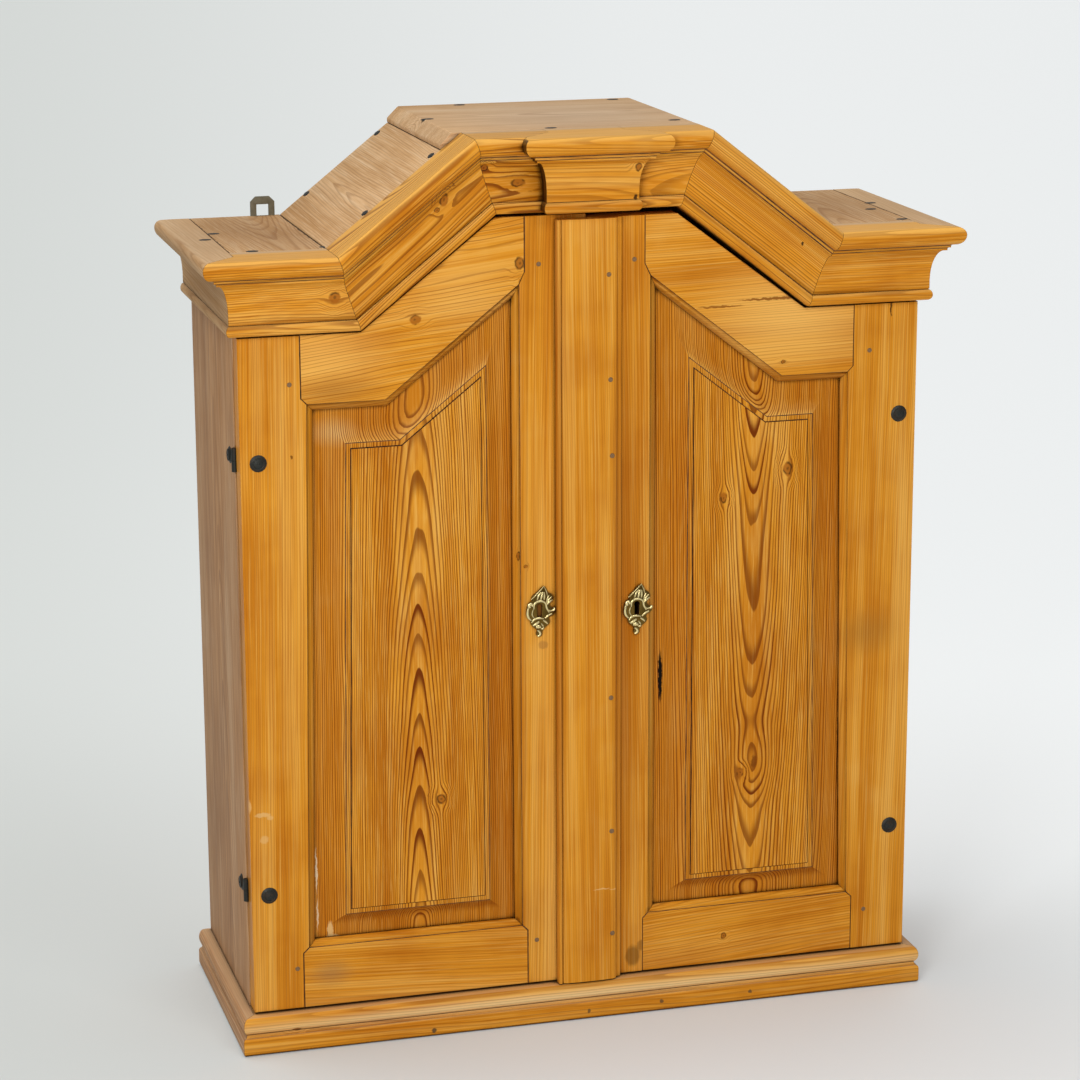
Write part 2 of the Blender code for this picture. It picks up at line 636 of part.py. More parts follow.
class DoorLines:
    """The lines of one door as seen from the front, as (distance from the middle, height)."""

    def __init__(self, name):
        outer = HALF_WIDTH - DOOR_EDGE_INSET
        foot = DOOR_FOOT + BOTTOM_RAIL_WIDTH
        foot_out, head_out = outer - OUTER_STILE_FOOT_WIDTH[name], outer - OUTER_STILE_HEAD_WIDTH[name]
        inner = INNER_STILE_WIDTH[name]
        shoulder = roofline(-TOP_RAIL_WIDTH)[0]
        slope_top = shoulder[1] + (shoulder[0] - inner) * tan(SLOPE_ANGLE)
        self.opening = [(foot_out, foot), (head_out, shoulder[1]), shoulder, (inner, slope_top), (inner, foot)]
        self.joint = offset(self.opening, JOINT_SETBACK)
        bevels = [BEVEL_OUTER[name], BEVEL_TOP, BEVEL_TOP, BEVEL_INNER[name], BEVEL_BOTTOM]
        self.field = offset_edges(self.opening, [-width for width in bevels])
        self.edge = outer
        self.meeting = MEETING_GAP / 2
        self.shoulder_top = SHOULDER_HEIGHT - SHOULDER_GAP
        self.crown_top = CROWN_HEIGHT - CROWN_GAP[name]
        self.shoulder_corner = (SHOULDER_BREAK - (SLOPE_GAP - SHOULDER_GAP) / tan(SLOPE_ANGLE), self.shoulder_top)
        self.crown_corner = (CROWN_BREAK, self.crown_top)

    def outlines(self):
        foot_out, head_out, shoulder, head_in, foot_in = self.opening
        joint_foot, joint_head, _, joint_in_head, joint_in_foot = self.joint
        return {
            "outer_stile": [(self.edge, DOOR_FOOT), (self.edge, self.shoulder_top), (joint_head[0], self.shoulder_top),
                            joint_head, head_out, foot_out, joint_foot, (joint_foot[0], DOOR_FOOT)],
            "inner_stile": [(self.meeting, DOOR_FOOT), (joint_in_foot[0], DOOR_FOOT), joint_in_foot, foot_in, head_in,
                            joint_in_head, (joint_in_head[0], self.crown_top), (self.meeting, self.crown_top)],
            "top_rail": [joint_head, (joint_head[0], self.shoulder_top), self.shoulder_corner, self.crown_corner,
                         (joint_in_head[0], self.crown_top), joint_in_head, head_in, shoulder, head_out],
            "bottom_rail": [joint_foot, foot_out, foot_in, joint_in_foot, (joint_in_foot[0], DOOR_FOOT),
                            (joint_foot[0], DOOR_FOOT)],
        }

    def tenons(self):
        """Each tenon as rail, stile, joint line, way into the stile, and its low and high end."""
        joint_foot, joint_head, _, joint_in_head, joint_in_foot = self.joint
        low = DOOR_FOOT + TENON_SHOULDER
        foot_high = joint_foot[1] - TENON_SHOULDER
        head_low = joint_head[1] + TENON_SHOULDER
        crown_low = joint_in_head[1] + TENON_SHOULDER
        return [
            ("bottom_rail", "outer_stile", joint_foot[0], 1, low, foot_high),
            ("bottom_rail", "inner_stile", joint_in_foot[0], -1, low, foot_high),
            ("top_rail", "outer_stile", joint_head[0], 1, head_low, self.shoulder_top - TENON_SHOULDER),
            ("top_rail", "inner_stile", joint_in_head[0], -1, crown_low, self.crown_top - TENON_SHOULDER),
        ]


def panel_solid(lines, side):
    """A raised panel: a tongue in the groove, a hollowed bevel, a flat fillet, a small step and a flat field."""
    tongue_front = GROOVE_SETBACK + SEAT_GAP
    tongue_back = GROOVE_SETBACK + GROOVE_WIDTH - SEAT_GAP
    rim = offset(lines.opening, GROOVE_DEPTH - PANEL_SLACK)
    fillet = offset(lines.field, PANEL_FILLET)
    fillet_depth = PANEL_FIELD_SETBACK + PANEL_STEP
    levels = [(rim, tongue_back), (rim, tongue_front)]
    for i in range(PANEL_STEPS + 1):
        share = i / PANEL_STEPS
        ring = [tuple(Vector(a).lerp(Vector(b), share)) for a, b in zip(lines.opening, fillet)]
        levels.append((ring, tongue_front + (fillet_depth - tongue_front) * share ** PANEL_HOLLOW))
    levels += [(lines.field, fillet_depth), (lines.field, PANEL_FIELD_SETBACK)]
    return stack([[(side * x, y_at(depth), z) for x, z in ring] for ring, depth in levels])


def build_door(name, side, carrier):
    lines = DoorLines(name)
    pieces = {}
    quirk, depth, width = STICKING_QUIRK, STICKING_DEPTH, STICKING_WIDTH
    over = STICKING_WIDTH / 4
    ovolo = arc((width, depth), (width, depth - quirk), 3 * pi / 2, pi, BEAD_STEPS)
    section = [(width, -over)] + ovolo + [(-over, depth), (-over, -over)]
    sticking = loop_cutter(f"cut_{name}_sticking", lines.opening, section, side)
    groove_back = GROOVE_SETBACK + GROOVE_WIDTH
    section = [(-over, GROOVE_SETBACK), (GROOVE_DEPTH, GROOVE_SETBACK), (GROOVE_DEPTH, groove_back), (-over, groove_back)]
    groove = loop_cutter(f"cut_{name}_groove", lines.opening, section, side)
    for word, outline in lines.outlines().items():
        mesh = elevation(mirrored(offset(outline, -SEAT_GAP / 2), side), 0, DOOR_THICKNESS)
        pieces[word] = node(f"{name}_{word}", mesh, VARNISHED_PINE, carrier)
    for rail, stile, joint, way, low, high in lines.tenons():
        tag = f"{name}_{rail}_{stile}"
        root, tip = joint - way * TENON_SHOULDER, joint + way * TENON_LENGTH
        thick = (GROOVE_SETBACK + SEAT_GAP, groove_back - SEAT_GAP)
        add(pieces[rail], helper(f"add_{tag}_tenon", box((side * root, side * tip), thick, (low, high))))
        mortise = box((side * root, side * (tip + way * SEAT_GAP)), (GROOVE_SETBACK, groove_back),
                      (low - SEAT_GAP, high + SEAT_GAP))
        cut(pieces[stile], helper(f"cut_{tag}_mortise", mortise))
    for piece in pieces.values():
        cut(piece, sticking, groove)
    node(f"{name}_panel", panel_solid(lines, side), VARNISHED_PINE, carrier)
    return lines, pieces


def rivet_profile(shank):
    """Outer profile of a dome-headed rivet, from the dome's crown down to the shank's end."""
    rise = RIVET_HEAD_HEIGHT
    ball = (RIVET_HEAD_RADIUS ** 2 + rise ** 2) / (2 * rise)
    spread = asin(RIVET_HEAD_RADIUS / ball)
    dome = [(ball * sin(spread * i / NOSE_STEPS), rise - ball + ball * cos(spread * i / NOSE_STEPS))
            for i in range(NOSE_STEPS + 1)]
    return dome + [(RIVET_SHANK_RADIUS, 0), (RIVET_SHANK_RADIUS, -shank), (0, -shank)]


def facing(x, depth, z, direction):
    """A frame at a place with its Z along a direction."""
    turn = Vector(direction).to_track_quat("Z", "Y").to_matrix().to_4x4()
    return Matrix.Translation((x, y_at(depth), z)) @ turn


def build_hinges(word, side, carrier, wooden_side, stile):
    """Two lift-off hinges: each pintle leaf wraps the side's front edge, each strap is let into the door's back."""
    axis = side * HALF_WIDTH
    strap_back = DOOR_THICKNESS - SEAT_GAP
    strap_front = strap_back - LEAF_THICKNESS
    leaf_front = CARCASS_FRONT + SEAT_GAP
    leaf_back = leaf_front + LEAF_THICKNESS
    leaf_inner = INNER_WALL - SEAT_GAP - LEAF_THICKNESS
    clear = KNUCKLE_RADIUS + 2 * KNUCKLE_CLEARANCE
    neck = HALF_WIDTH - clear
    tang = HALF_WIDTH - (KNUCKLE_RADIUS + PINTLE_RADIUS) / 2
    hole = RIVET_SHANK_RADIUS + 2 * SEAT_GAP
    door_rivet = rivet_profile(strap_back + SEAT_GAP)
    side_rivet = rivet_profile(SIDE_THICKNESS + LEAF_THICKNESS + 2 * SEAT_GAP)
    for level_word, height in HINGE_HEIGHTS[word].items():
        low, high = height - HINGE_TALL / 2, height + HINGE_TALL / 2
        z_cut = (low - SEAT_GAP, high + SEAT_GAP)
        lower, upper = (low, height - SEAT_GAP / 2), (height + SEAT_GAP / 2, high)
        tag = f"{word}_{level_word}"
        over = HALF_WIDTH + clear
        knuckle = rod((axis, HINGE_DEPTH, z_cut[0]), (axis, HINGE_DEPTH, z_cut[1]), KNUCKLE_RADIUS + KNUCKLE_CLEARANCE)
        knuckle = helper(f"cut_{tag}_knuckle", knuckle)
        strap_end = HALF_WIDTH - STRAP_LENGTH
        pocket = box((side * (strap_end - SEAT_GAP), side * over), (strap_front - SEAT_GAP, CARCASS_FRONT), z_cut)
        seat = box((side * (INNER_WALL - clear), side * over), (DOOR_THICKNESS, leaf_back + SEAT_GAP), z_cut)
        door_x = side * (HALF_WIDTH - DOOR_RIVET_SETBACK)
        door_hole = rod((door_x, -clear, height), (door_x, CARCASS_FRONT, height), hole, SMALL_SIDES)
        rivet_depth = CARCASS_FRONT + SIDE_RIVET_SETBACK
        side_hole = rod((side * (leaf_inner - clear), rivet_depth, height), (side * over, rivet_depth, height), hole,
                        SMALL_SIDES)
        door_hole = helper(f"cut_{tag}_door_rivet", door_hole)
        side_hole = helper(f"cut_{tag}_side_rivet", side_hole)
        cut(stile, knuckle, helper(f"cut_{tag}_strap", pocket), door_hole)
        cut(wooden_side, knuckle, helper(f"cut_{tag}_leaf", seat), side_hole)

        wrap = [(neck, leaf_front), (neck, leaf_back), (INNER_WALL - SEAT_GAP, leaf_back),
                (INNER_WALL - SEAT_GAP, CARCASS_FRONT + LEAF_LENGTH), (leaf_inner, CARCASS_FRONT + LEAF_LENGTH),
                (leaf_inner, leaf_front)]
        leaf = node(f"{tag}_hinge_pintle", plan(mirrored(wrap, side), low, high), BLACK_IRON)
        barrel = rod((axis, HINGE_DEPTH, lower[0]), (axis, HINGE_DEPTH, lower[1]), KNUCKLE_RADIUS)
        pin = rod((axis, HINGE_DEPTH, (lower[0] + lower[1]) / 2), (axis, HINGE_DEPTH, high), PINTLE_RADIUS, SMALL_SIDES)
        bridge = box((side * (neck - clear), side * tang), (leaf_front, leaf_back), lower)
        add(leaf, helper(f"add_{tag}_leaf_tang", bridge), helper(f"add_{tag}_barrel", barrel),
            helper(f"add_{tag}_pin", pin))
        cut(leaf, side_hole)

        strap = box((side * strap_end, side * neck), (strap_front, strap_back), (low, high))
        strap = node(f"{tag}_hinge_strap", strap, BLACK_IRON, carrier)
        eye = rod((axis, HINGE_DEPTH, upper[0]), (axis, HINGE_DEPTH, upper[1]), KNUCKLE_RADIUS)
        bore = rod((axis, HINGE_DEPTH, low), (axis, HINGE_DEPTH, high + clear), PINTLE_RADIUS + 2 * SEAT_GAP, SMALL_SIDES)
        bridge = box((side * (neck - clear), side * tang), (strap_front, strap_back), upper)
        add(strap, helper(f"add_{tag}_strap_tang", bridge), helper(f"add_{tag}_eye", eye))
        cut(strap, helper(f"cut_{tag}_eye", bore), door_hole)
        mesh = turned(door_rivet, ROUND_SIDES)
        mesh.transform(facing(door_x, -SEAT_GAP, height, (0, -1, 0)))
        shade_round(node(f"{tag}_door_rivet", mesh, BLACK_IRON, carrier))
        mesh = turned(side_rivet, ROUND_SIDES)
        mesh.transform(facing(side * (HALF_WIDTH + SEAT_GAP), rivet_depth, height, (side, 0, 0)))
        shade_round(node(f"{tag}_side_rivet", mesh, BLACK_IRON))


def strip_outline():
    """The cover strip seen from above: a bead and quirk, a gently crowned face, an ogee and a thin right edge."""
    left = -STRIP_OVERLAP
    right = left + STRIP_WIDTH
    proud = STRIP_THICKNESS
    bead_crown = 0.9 * proud
    half = STRIP_BEAD / 2
    points = [(left, SEAT_GAP)]
    points += arc((left + half, bead_crown - half), (half, half), pi, 0, BEAD_STEPS)
    face_left = left + STRIP_BEAD + half
    face_right = right - STRIP_OGEE
    points += [(face_left - half, 0.7 * proud), (face_left, 0.88 * proud)]
    points += [(left + STRIP_WIDTH / 2, proud), (face_right, 0.92 * proud)]
    sweep = STRIP_OGEE / 2
    drop = 0.3 * proud
    points += arc((face_right, 0.62 * proud), (sweep, drop), pi / 2, 0, BEAD_STEPS)[1:]
    points += arc((right, 0.62 * proud), (sweep, drop), pi, 3 * pi / 2, BEAD_STEPS)[1:]
    points += [(right, SEAT_GAP)]
    return [(x, -reach) for x, reach in points]


def build_strip(lines, carrier):
    strip = plan(strip_outline(), PLINTH_HEIGHT + STRIP_FOOT_GAP, lines.crown_top)
    node("cover_strip", strip, VARNISHED_PINE, carrier)


def keyhole(x, z):
    """A keyhole's outline: a round head over a straight slot."""
    half = KEYHOLE_WIDTH / 2
    head = z + KEYHOLE_HEIGHT / 2 - KEYHOLE_HEAD_RADIUS
    mouth = asin(half / KEYHOLE_HEAD_RADIUS)
    turn = arc((x, head), (KEYHOLE_HEAD_RADIUS, KEYHOLE_HEAD_RADIUS), -pi / 2 - mouth, -5 * pi / 2 + mouth, ROUND_SIDES)
    return [(x + half, z - KEYHOLE_HEIGHT / 2), (x - half, z - KEYHOLE_HEIGHT / 2)] + turn


def build_escutcheon(name, side, carrier):
    """A cast brass plate, blind on the left door; the outline of the key's opening is returned."""
    x, z = side * ESCUTCHEON_SETBACK[name], ESCUTCHEON_HEIGHT[name]
    outline = [(x + a / 1000, z + b / 1000) for a, b in CARTOUCHE_MM]
    opening = keyhole(x + KEYHOLE_OFFSET_MM[0] / 1000, z + KEYHOLE_OFFSET_MM[1] / 1000)
    holes = [opening] if side > 0 else []
    plate = elevation(outline, -SEAT_GAP - ESCUTCHEON_THICKNESS, -SEAT_GAP, holes=holes, smooth_steps=3)
    node(name.replace("door", "escutcheon"), plate, OLD_BRASS, carrier)
    return opening


def build_lock(stile, opening, right_carrier, left_carrier):
    cut(stile, helper("cut_keyhole", elevation(opening, -LOCK_DEPTH, DOOR_THICKNESS + LOCK_DEPTH)))
    door_back = DOOR_THICKNESS + SEAT_GAP
    case_back = door_back + LOCK_DEPTH
    left, right = LOCK_SETBACK, LOCK_SETBACK + LOCK_WIDTH
    low, high = LOCK_HEIGHT - LOCK_TALL / 2, LOCK_HEIGHT + LOCK_TALL / 2
    case = node("lock_case", box((left, right), (door_back, case_back), (low, high)), BLACK_IRON, right_carrier)
    hollow = box((left + LOCK_WALL, right - LOCK_WALL), (DOOR_THICKNESS - LOCK_WALL, case_back - LOCK_WALL),
                 (low + LOCK_WALL, high - LOCK_WALL))
    bolt_back = BOLT_FRONT + BOLT_THICKNESS
    bolt_low, bolt_high = LOCK_HEIGHT - BOLT_TALL / 2, LOCK_HEIGHT + BOLT_TALL / 2
    slot = box((left - LOCK_WALL, left + 2 * LOCK_WALL), (BOLT_FRONT - BOLT_PLAY, bolt_back + BOLT_PLAY),
               (bolt_low - BOLT_PLAY, bolt_high + BOLT_PLAY))
    cut(case, helper("cut_lock_hollow", hollow), helper("cut_bolt_slot", slot))
    bolt = box((left + SEAT_GAP, left + BOLT_LENGTH), (BOLT_FRONT, bolt_back), (bolt_low, bolt_high))
    node("lock_bolt", bolt, BLACK_IRON, right_carrier)

    rim = KEEPER_RIM
    keeper_back = bolt_back + BOLT_PLAY + rim / 2
    keeper_right, keeper_left = -LOCK_SETBACK, -LOCK_SETBACK - KEEPER_WIDTH
    body = box((keeper_left, keeper_right), (door_back, keeper_back), (bolt_low - rim, bolt_high + rim))
    keeper = node("lock_keeper", body, BLACK_IRON, left_carrier)
    ears = box((keeper_left, keeper_right), (door_back, door_back + LOCK_WALL),
               (bolt_low - rim - KEEPER_EAR, bolt_high + rim + KEEPER_EAR))
    add(keeper, helper("add_keeper_ears", ears))
    pocket = box((keeper_left + rim, keeper_right + rim), (BOLT_FRONT - BOLT_PLAY, bolt_back + BOLT_PLAY),
                 (bolt_low - BOLT_PLAY, bolt_high + BOLT_PLAY))
    cut(keeper, helper("cut_keeper_pocket", pocket))


def build_door_bolt(lines, frieze, carrier):
    """The left door's slide bolt: it rises behind the cornice into a socket in the frieze board."""
    x = -DOOR_BOLT_SETBACK
    half = DOOR_BOLT_WIDTH / 2
    plate_front = DOOR_THICKNESS + SEAT_GAP
    plate_back = plate_front + BOLT_PLATE_THICKNESS
    bar_front = plate_back + BOLT_PLAY
    bar_back = bar_front + DOOR_BOLT_DEPTH
    bar_top = CROWN_HEIGHT - DOOR_BOLT_HEAD_GAP
    bar_low = bar_top - DOOR_BOLT_LENGTH
    plate_high = lines.crown_top - TENON_SHOULDER
    plate_low = plate_high - BOLT_PLATE_TALL
    plate_half = BOLT_PLATE_WIDTH / 2
    plate = box((x - plate_half, x + plate_half), (plate_front, plate_back), (plate_low, plate_high))
    plate = node("left_door_bolt_plate", plate, BLACK_IRON, carrier)
    rim = BOLT_GUIDE_RIM
    for word, low in (("lower", plate_low), ("upper", plate_high - BOLT_GUIDE_TALL)):
        guide = box((x - half - BOLT_PLAY - rim, x + half + BOLT_PLAY + rim), (plate_front, bar_back + BOLT_PLAY + rim),
                    (low, low + BOLT_GUIDE_TALL))
        add(plate, helper(f"add_{word}_guide", guide))
    channel = box((x - half - BOLT_PLAY, x + half + BOLT_PLAY), (plate_back, bar_back + BOLT_PLAY),
                  (plate_low - rim, plate_high + rim))
    cut(plate, helper("cut_bolt_channel", channel))
    bar = box((x - half, x + half), (bar_front, bar_back), (bar_low, bar_top))
    bar = node("left_door_bolt", bar, BLACK_IRON, carrier)
    knob_height = plate_low + BOLT_GUIDE_TALL + BOLT_PLAY + 2 * DOOR_BOLT_KNOB_RADIUS
    knob = rod((x, bar_front + DOOR_BOLT_DEPTH / 2, knob_height), (x, bar_back + DOOR_BOLT_KNOB_LENGTH, knob_height),
               DOOR_BOLT_KNOB_RADIUS, SMALL_SIDES)
    add(bar, helper("add_bolt_knob", knob))
    frieze_low = CROWN_HEIGHT + FRIEZE_RISE
    play = 2 * BOLT_PLAY
    socket = box((x - half - play, x + half + play), (bar_front - play, bar_back + play),
                 (frieze_low - DOOR_BOLT_SOCKET, frieze_low + DOOR_BOLT_SOCKET))
    cut(frieze, helper("cut_bolt_socket", socket))


def build_loops(wooden):
    """Iron hanging loops, let flush into the back and standing above the shoulder boards."""
    shoulder_top = SHOULDER_HEIGHT + CORNICE_HEIGHT
    top, low = shoulder_top + LOOP_RISE, shoulder_top - LOOP_DROP
    half, chamfer = LOOP_WIDTH / 2, LOOP_CHAMFER
    front = BODY_DEPTH - LOOP_THICKNESS
    for word, side in (("left", -1), ("right", 1)):
        x = side * (HALF_WIDTH - LOOP_SETBACK[word])
        outline = [(x - half, low), (x + half, low), (x + half, top - chamfer), (x + half - chamfer, top),
                   (x - half + chamfer, top), (x - half, top - chamfer)]
        eye_half, eye_top = LOOP_HOLE_WIDTH / 2, top - LOOP_RIM
        eye_low = eye_top - LOOP_HOLE_TALL
        eye = [(x - eye_half, eye_low), (x + eye_half, eye_low), (x + eye_half, eye_top), (x - eye_half, eye_top)]
        node(f"{word}_hanging_loop", elevation(outline, front, BODY_DEPTH, holes=[eye]), BLACK_IRON)
        side_gap = half + SEAT_GAP
        recess = box((x - side_gap, x + side_gap), (front - SEAT_GAP, BODY_DEPTH + LOOP_THICKNESS),
                     (low - SEAT_GAP, top + SEAT_GAP))
        recess = helper(f"cut_{word}_loop", recess)
        for thing in wooden:
            cut(thing, recess)


def build():
    carcass = build_carcass()
    roof = build_roof()
    build_cornice()
    build_plinth()
    build_loops([carcass["back_panel"], *roof.values()])
    doors = {}
    for word, side in (("left", -1), ("right", 1)):
        name = f"{word}_door"
        carrier = pivot(name, side * HALF_WIDTH)
        lines, pieces = build_door(name, side, carrier)
        build_hinges(word, side, carrier, carcass[f"{word}_side"], pieces["outer_stile"])
        doors[word] = (lines, pieces, carrier, build_escutcheon(name, side, carrier))
    right_lines, right_pieces, right_carrier, opening = doors["right"]
    left_lines, _, left_carrier, _ = doors["left"]
    build_strip(right_lines, right_carrier)
    build_lock(right_pieces["inner_stile"], opening, right_carrier, left_carrier)
    build_door_bolt(left_lines, carcass["frieze_board"], left_carrier)


build()
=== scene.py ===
import json
from math import atan2, cos, pi, radians, sin

import bmesh
import bpy
from mathutils import Matrix, Vector


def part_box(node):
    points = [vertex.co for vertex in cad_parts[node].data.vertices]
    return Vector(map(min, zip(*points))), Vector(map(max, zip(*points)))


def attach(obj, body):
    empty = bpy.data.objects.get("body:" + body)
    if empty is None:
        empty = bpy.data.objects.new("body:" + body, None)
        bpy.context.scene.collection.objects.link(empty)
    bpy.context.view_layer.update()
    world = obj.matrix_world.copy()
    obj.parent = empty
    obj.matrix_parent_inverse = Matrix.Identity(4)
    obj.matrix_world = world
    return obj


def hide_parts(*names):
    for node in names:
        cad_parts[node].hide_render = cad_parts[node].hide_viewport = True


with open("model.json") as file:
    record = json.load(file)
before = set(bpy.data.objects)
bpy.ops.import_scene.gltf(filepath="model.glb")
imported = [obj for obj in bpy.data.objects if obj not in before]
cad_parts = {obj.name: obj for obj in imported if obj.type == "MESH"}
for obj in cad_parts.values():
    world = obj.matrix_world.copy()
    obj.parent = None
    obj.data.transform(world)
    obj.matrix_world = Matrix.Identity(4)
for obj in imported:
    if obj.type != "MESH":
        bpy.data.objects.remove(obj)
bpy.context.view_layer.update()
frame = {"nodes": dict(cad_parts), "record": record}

DOOR_FACE = -0.112
# The gable's breaks from the middle, its rise and its foot, in millimetres
SHOULDER_BREAK = 254.8
CROWN_BREAK = 103.9
GABLE_RISE = 119
SHOULDER_HEIGHT = 818
SLOPE = atan2(GABLE_RISE, SHOULDER_BREAK - CROWN_BREAK)

ALONG = Vector((1, 0, 0))
BACK = Vector((0, 1, 0))
FRONT = -BACK
UP = Vector((0, 0, 1))
LEFT_SLOPE = Vector((cos(SLOPE), 0, sin(SLOPE)))
RIGHT_SLOPE = Vector((cos(SLOPE), 0, -sin(SLOPE)))

scene = bpy.context.scene
BODY_OF = {node: body for body, nodes in frame["record"]["behaviour"]["bodies"].items() for node in nodes}


def at(x, depth, z):
    """A place in the scene, in metres."""
    return Vector((x / 1000, DOOR_FACE + depth / 1000, z / 1000))


def linear(code):
    """An sRGB hex colour as linear red, green, blue and alpha."""
    shares = [int(code[i:i + 2], 16) / 255 for i in (1, 3, 5)]
    return [s / 12.92 if s <= 0.04045 else ((s + 0.055) / 1.055) ** 2.4 for s in shares] + [1.0]


def add_node(tree, kind, inputs=None, **settings):
    """One node of a material: settings are its options, inputs are values or the sockets that feed it."""
    made = tree.nodes.new("ShaderNode" + kind)
    for option, value in settings.items():
        setattr(made, option, value)
    for socket, value in (inputs or {}).items():
        if isinstance(value, bpy.types.NodeSocket):
            tree.links.new(value, made.inputs[socket])
        else:
            made.inputs[socket].default_value = value
    return made


# A soft step's inputs are its value, where it begins, where it is whole, and what it gives at each
SOFT = dict(interpolation_type="SMOOTHSTEP")


def lay(tree, colour, paint, measure, begin, whole, amount=1.0, step="SMOOTHSTEP"):
    """A paint laid over a colour: none of it at one value of a measure, and so much of it at another."""
    share = add_node(tree, "MapRange", {0: measure, 1: begin, 2: whole, 4: amount}, interpolation_type=step)
    below, above = (linear(coat) if isinstance(coat, str) else coat for coat in (colour, paint))
    mixed = add_node(tree, "Mix", {"Factor": share.outputs[0], 6: below, 7: above}, data_type="RGBA")
    return mixed.outputs[2]


def new_material(name):
    material = bpy.data.materials.new(name)
    material.use_nodes = True
    tree = material.node_tree
    tree.nodes.clear()
    shader = add_node(tree, "BsdfPrincipled")
    output = add_node(tree, "OutputMaterial")
    tree.links.new(shader.outputs[0], output.inputs[0])
    return material, tree, shader


# Old pine under a thin amber varnish: honey spring wood, red-brown summer wood, satin gloss
VARNISHED = dict(
    slot="varnished_pine", light="#DE9428", dark="#702C00", deep="#B8680E", pale="#ECB358", dirt_and_shade="#2A1204",
    dust="#C9A67C", roughness=0.33, gloss=0.06, contrast=1.0, streaks=0.48, relief=0.10)
# Pine that lost its varnish on the sides: grey-brown, dull, its figure nearly gone
GREYED = dict(
    slot="greyed_pine", light="#BE8E60", dark="#865C3E", deep="#A0744E", pale="#CFAA84", dirt_and_shade="#2E1F15",
    dust="#C2A078", roughness=0.62, gloss=0.16, contrast=0.50, streaks=0.55, relief=0.15)
# Bare boards under years of dust: pale and matt, with the hard summer wood standing up
DUSTY = dict(
    slot="dusty_pine", light="#DAB080", dark="#8A603C", deep="#B98C5A", pale="#E4C49C", dirt_and_shade="#3A2817",
    dust="#D8BC98", roughness=0.80, gloss=0.12, contrast=0.62, streaks=0.55, relief=0.35)
# Bare pine kept in the dark: pale straw browned by age, planed but never varnished
INSIDE = dict(
    slot="inside_pine", light="#CFA05E", dark="#9A6632", deep="#B5824A", pale="#DCB47A", dirt_and_shade="#3A2818",
    dust="#C8AA80", roughness=0.72, gloss=0.16, contrast=0.55, streaks=0.45, relief=0.15)
KNOT_HEART = "#A65E16"
KNOT_RIM = "#361806"
RAGGED_SHIFT = 0.004
DUST_FADE = 0.012
CORNER_SHADE_REACH = 0.008
GRAIN_HEIGHT = 0.0006
UNEVEN_YEARS = 0.0012


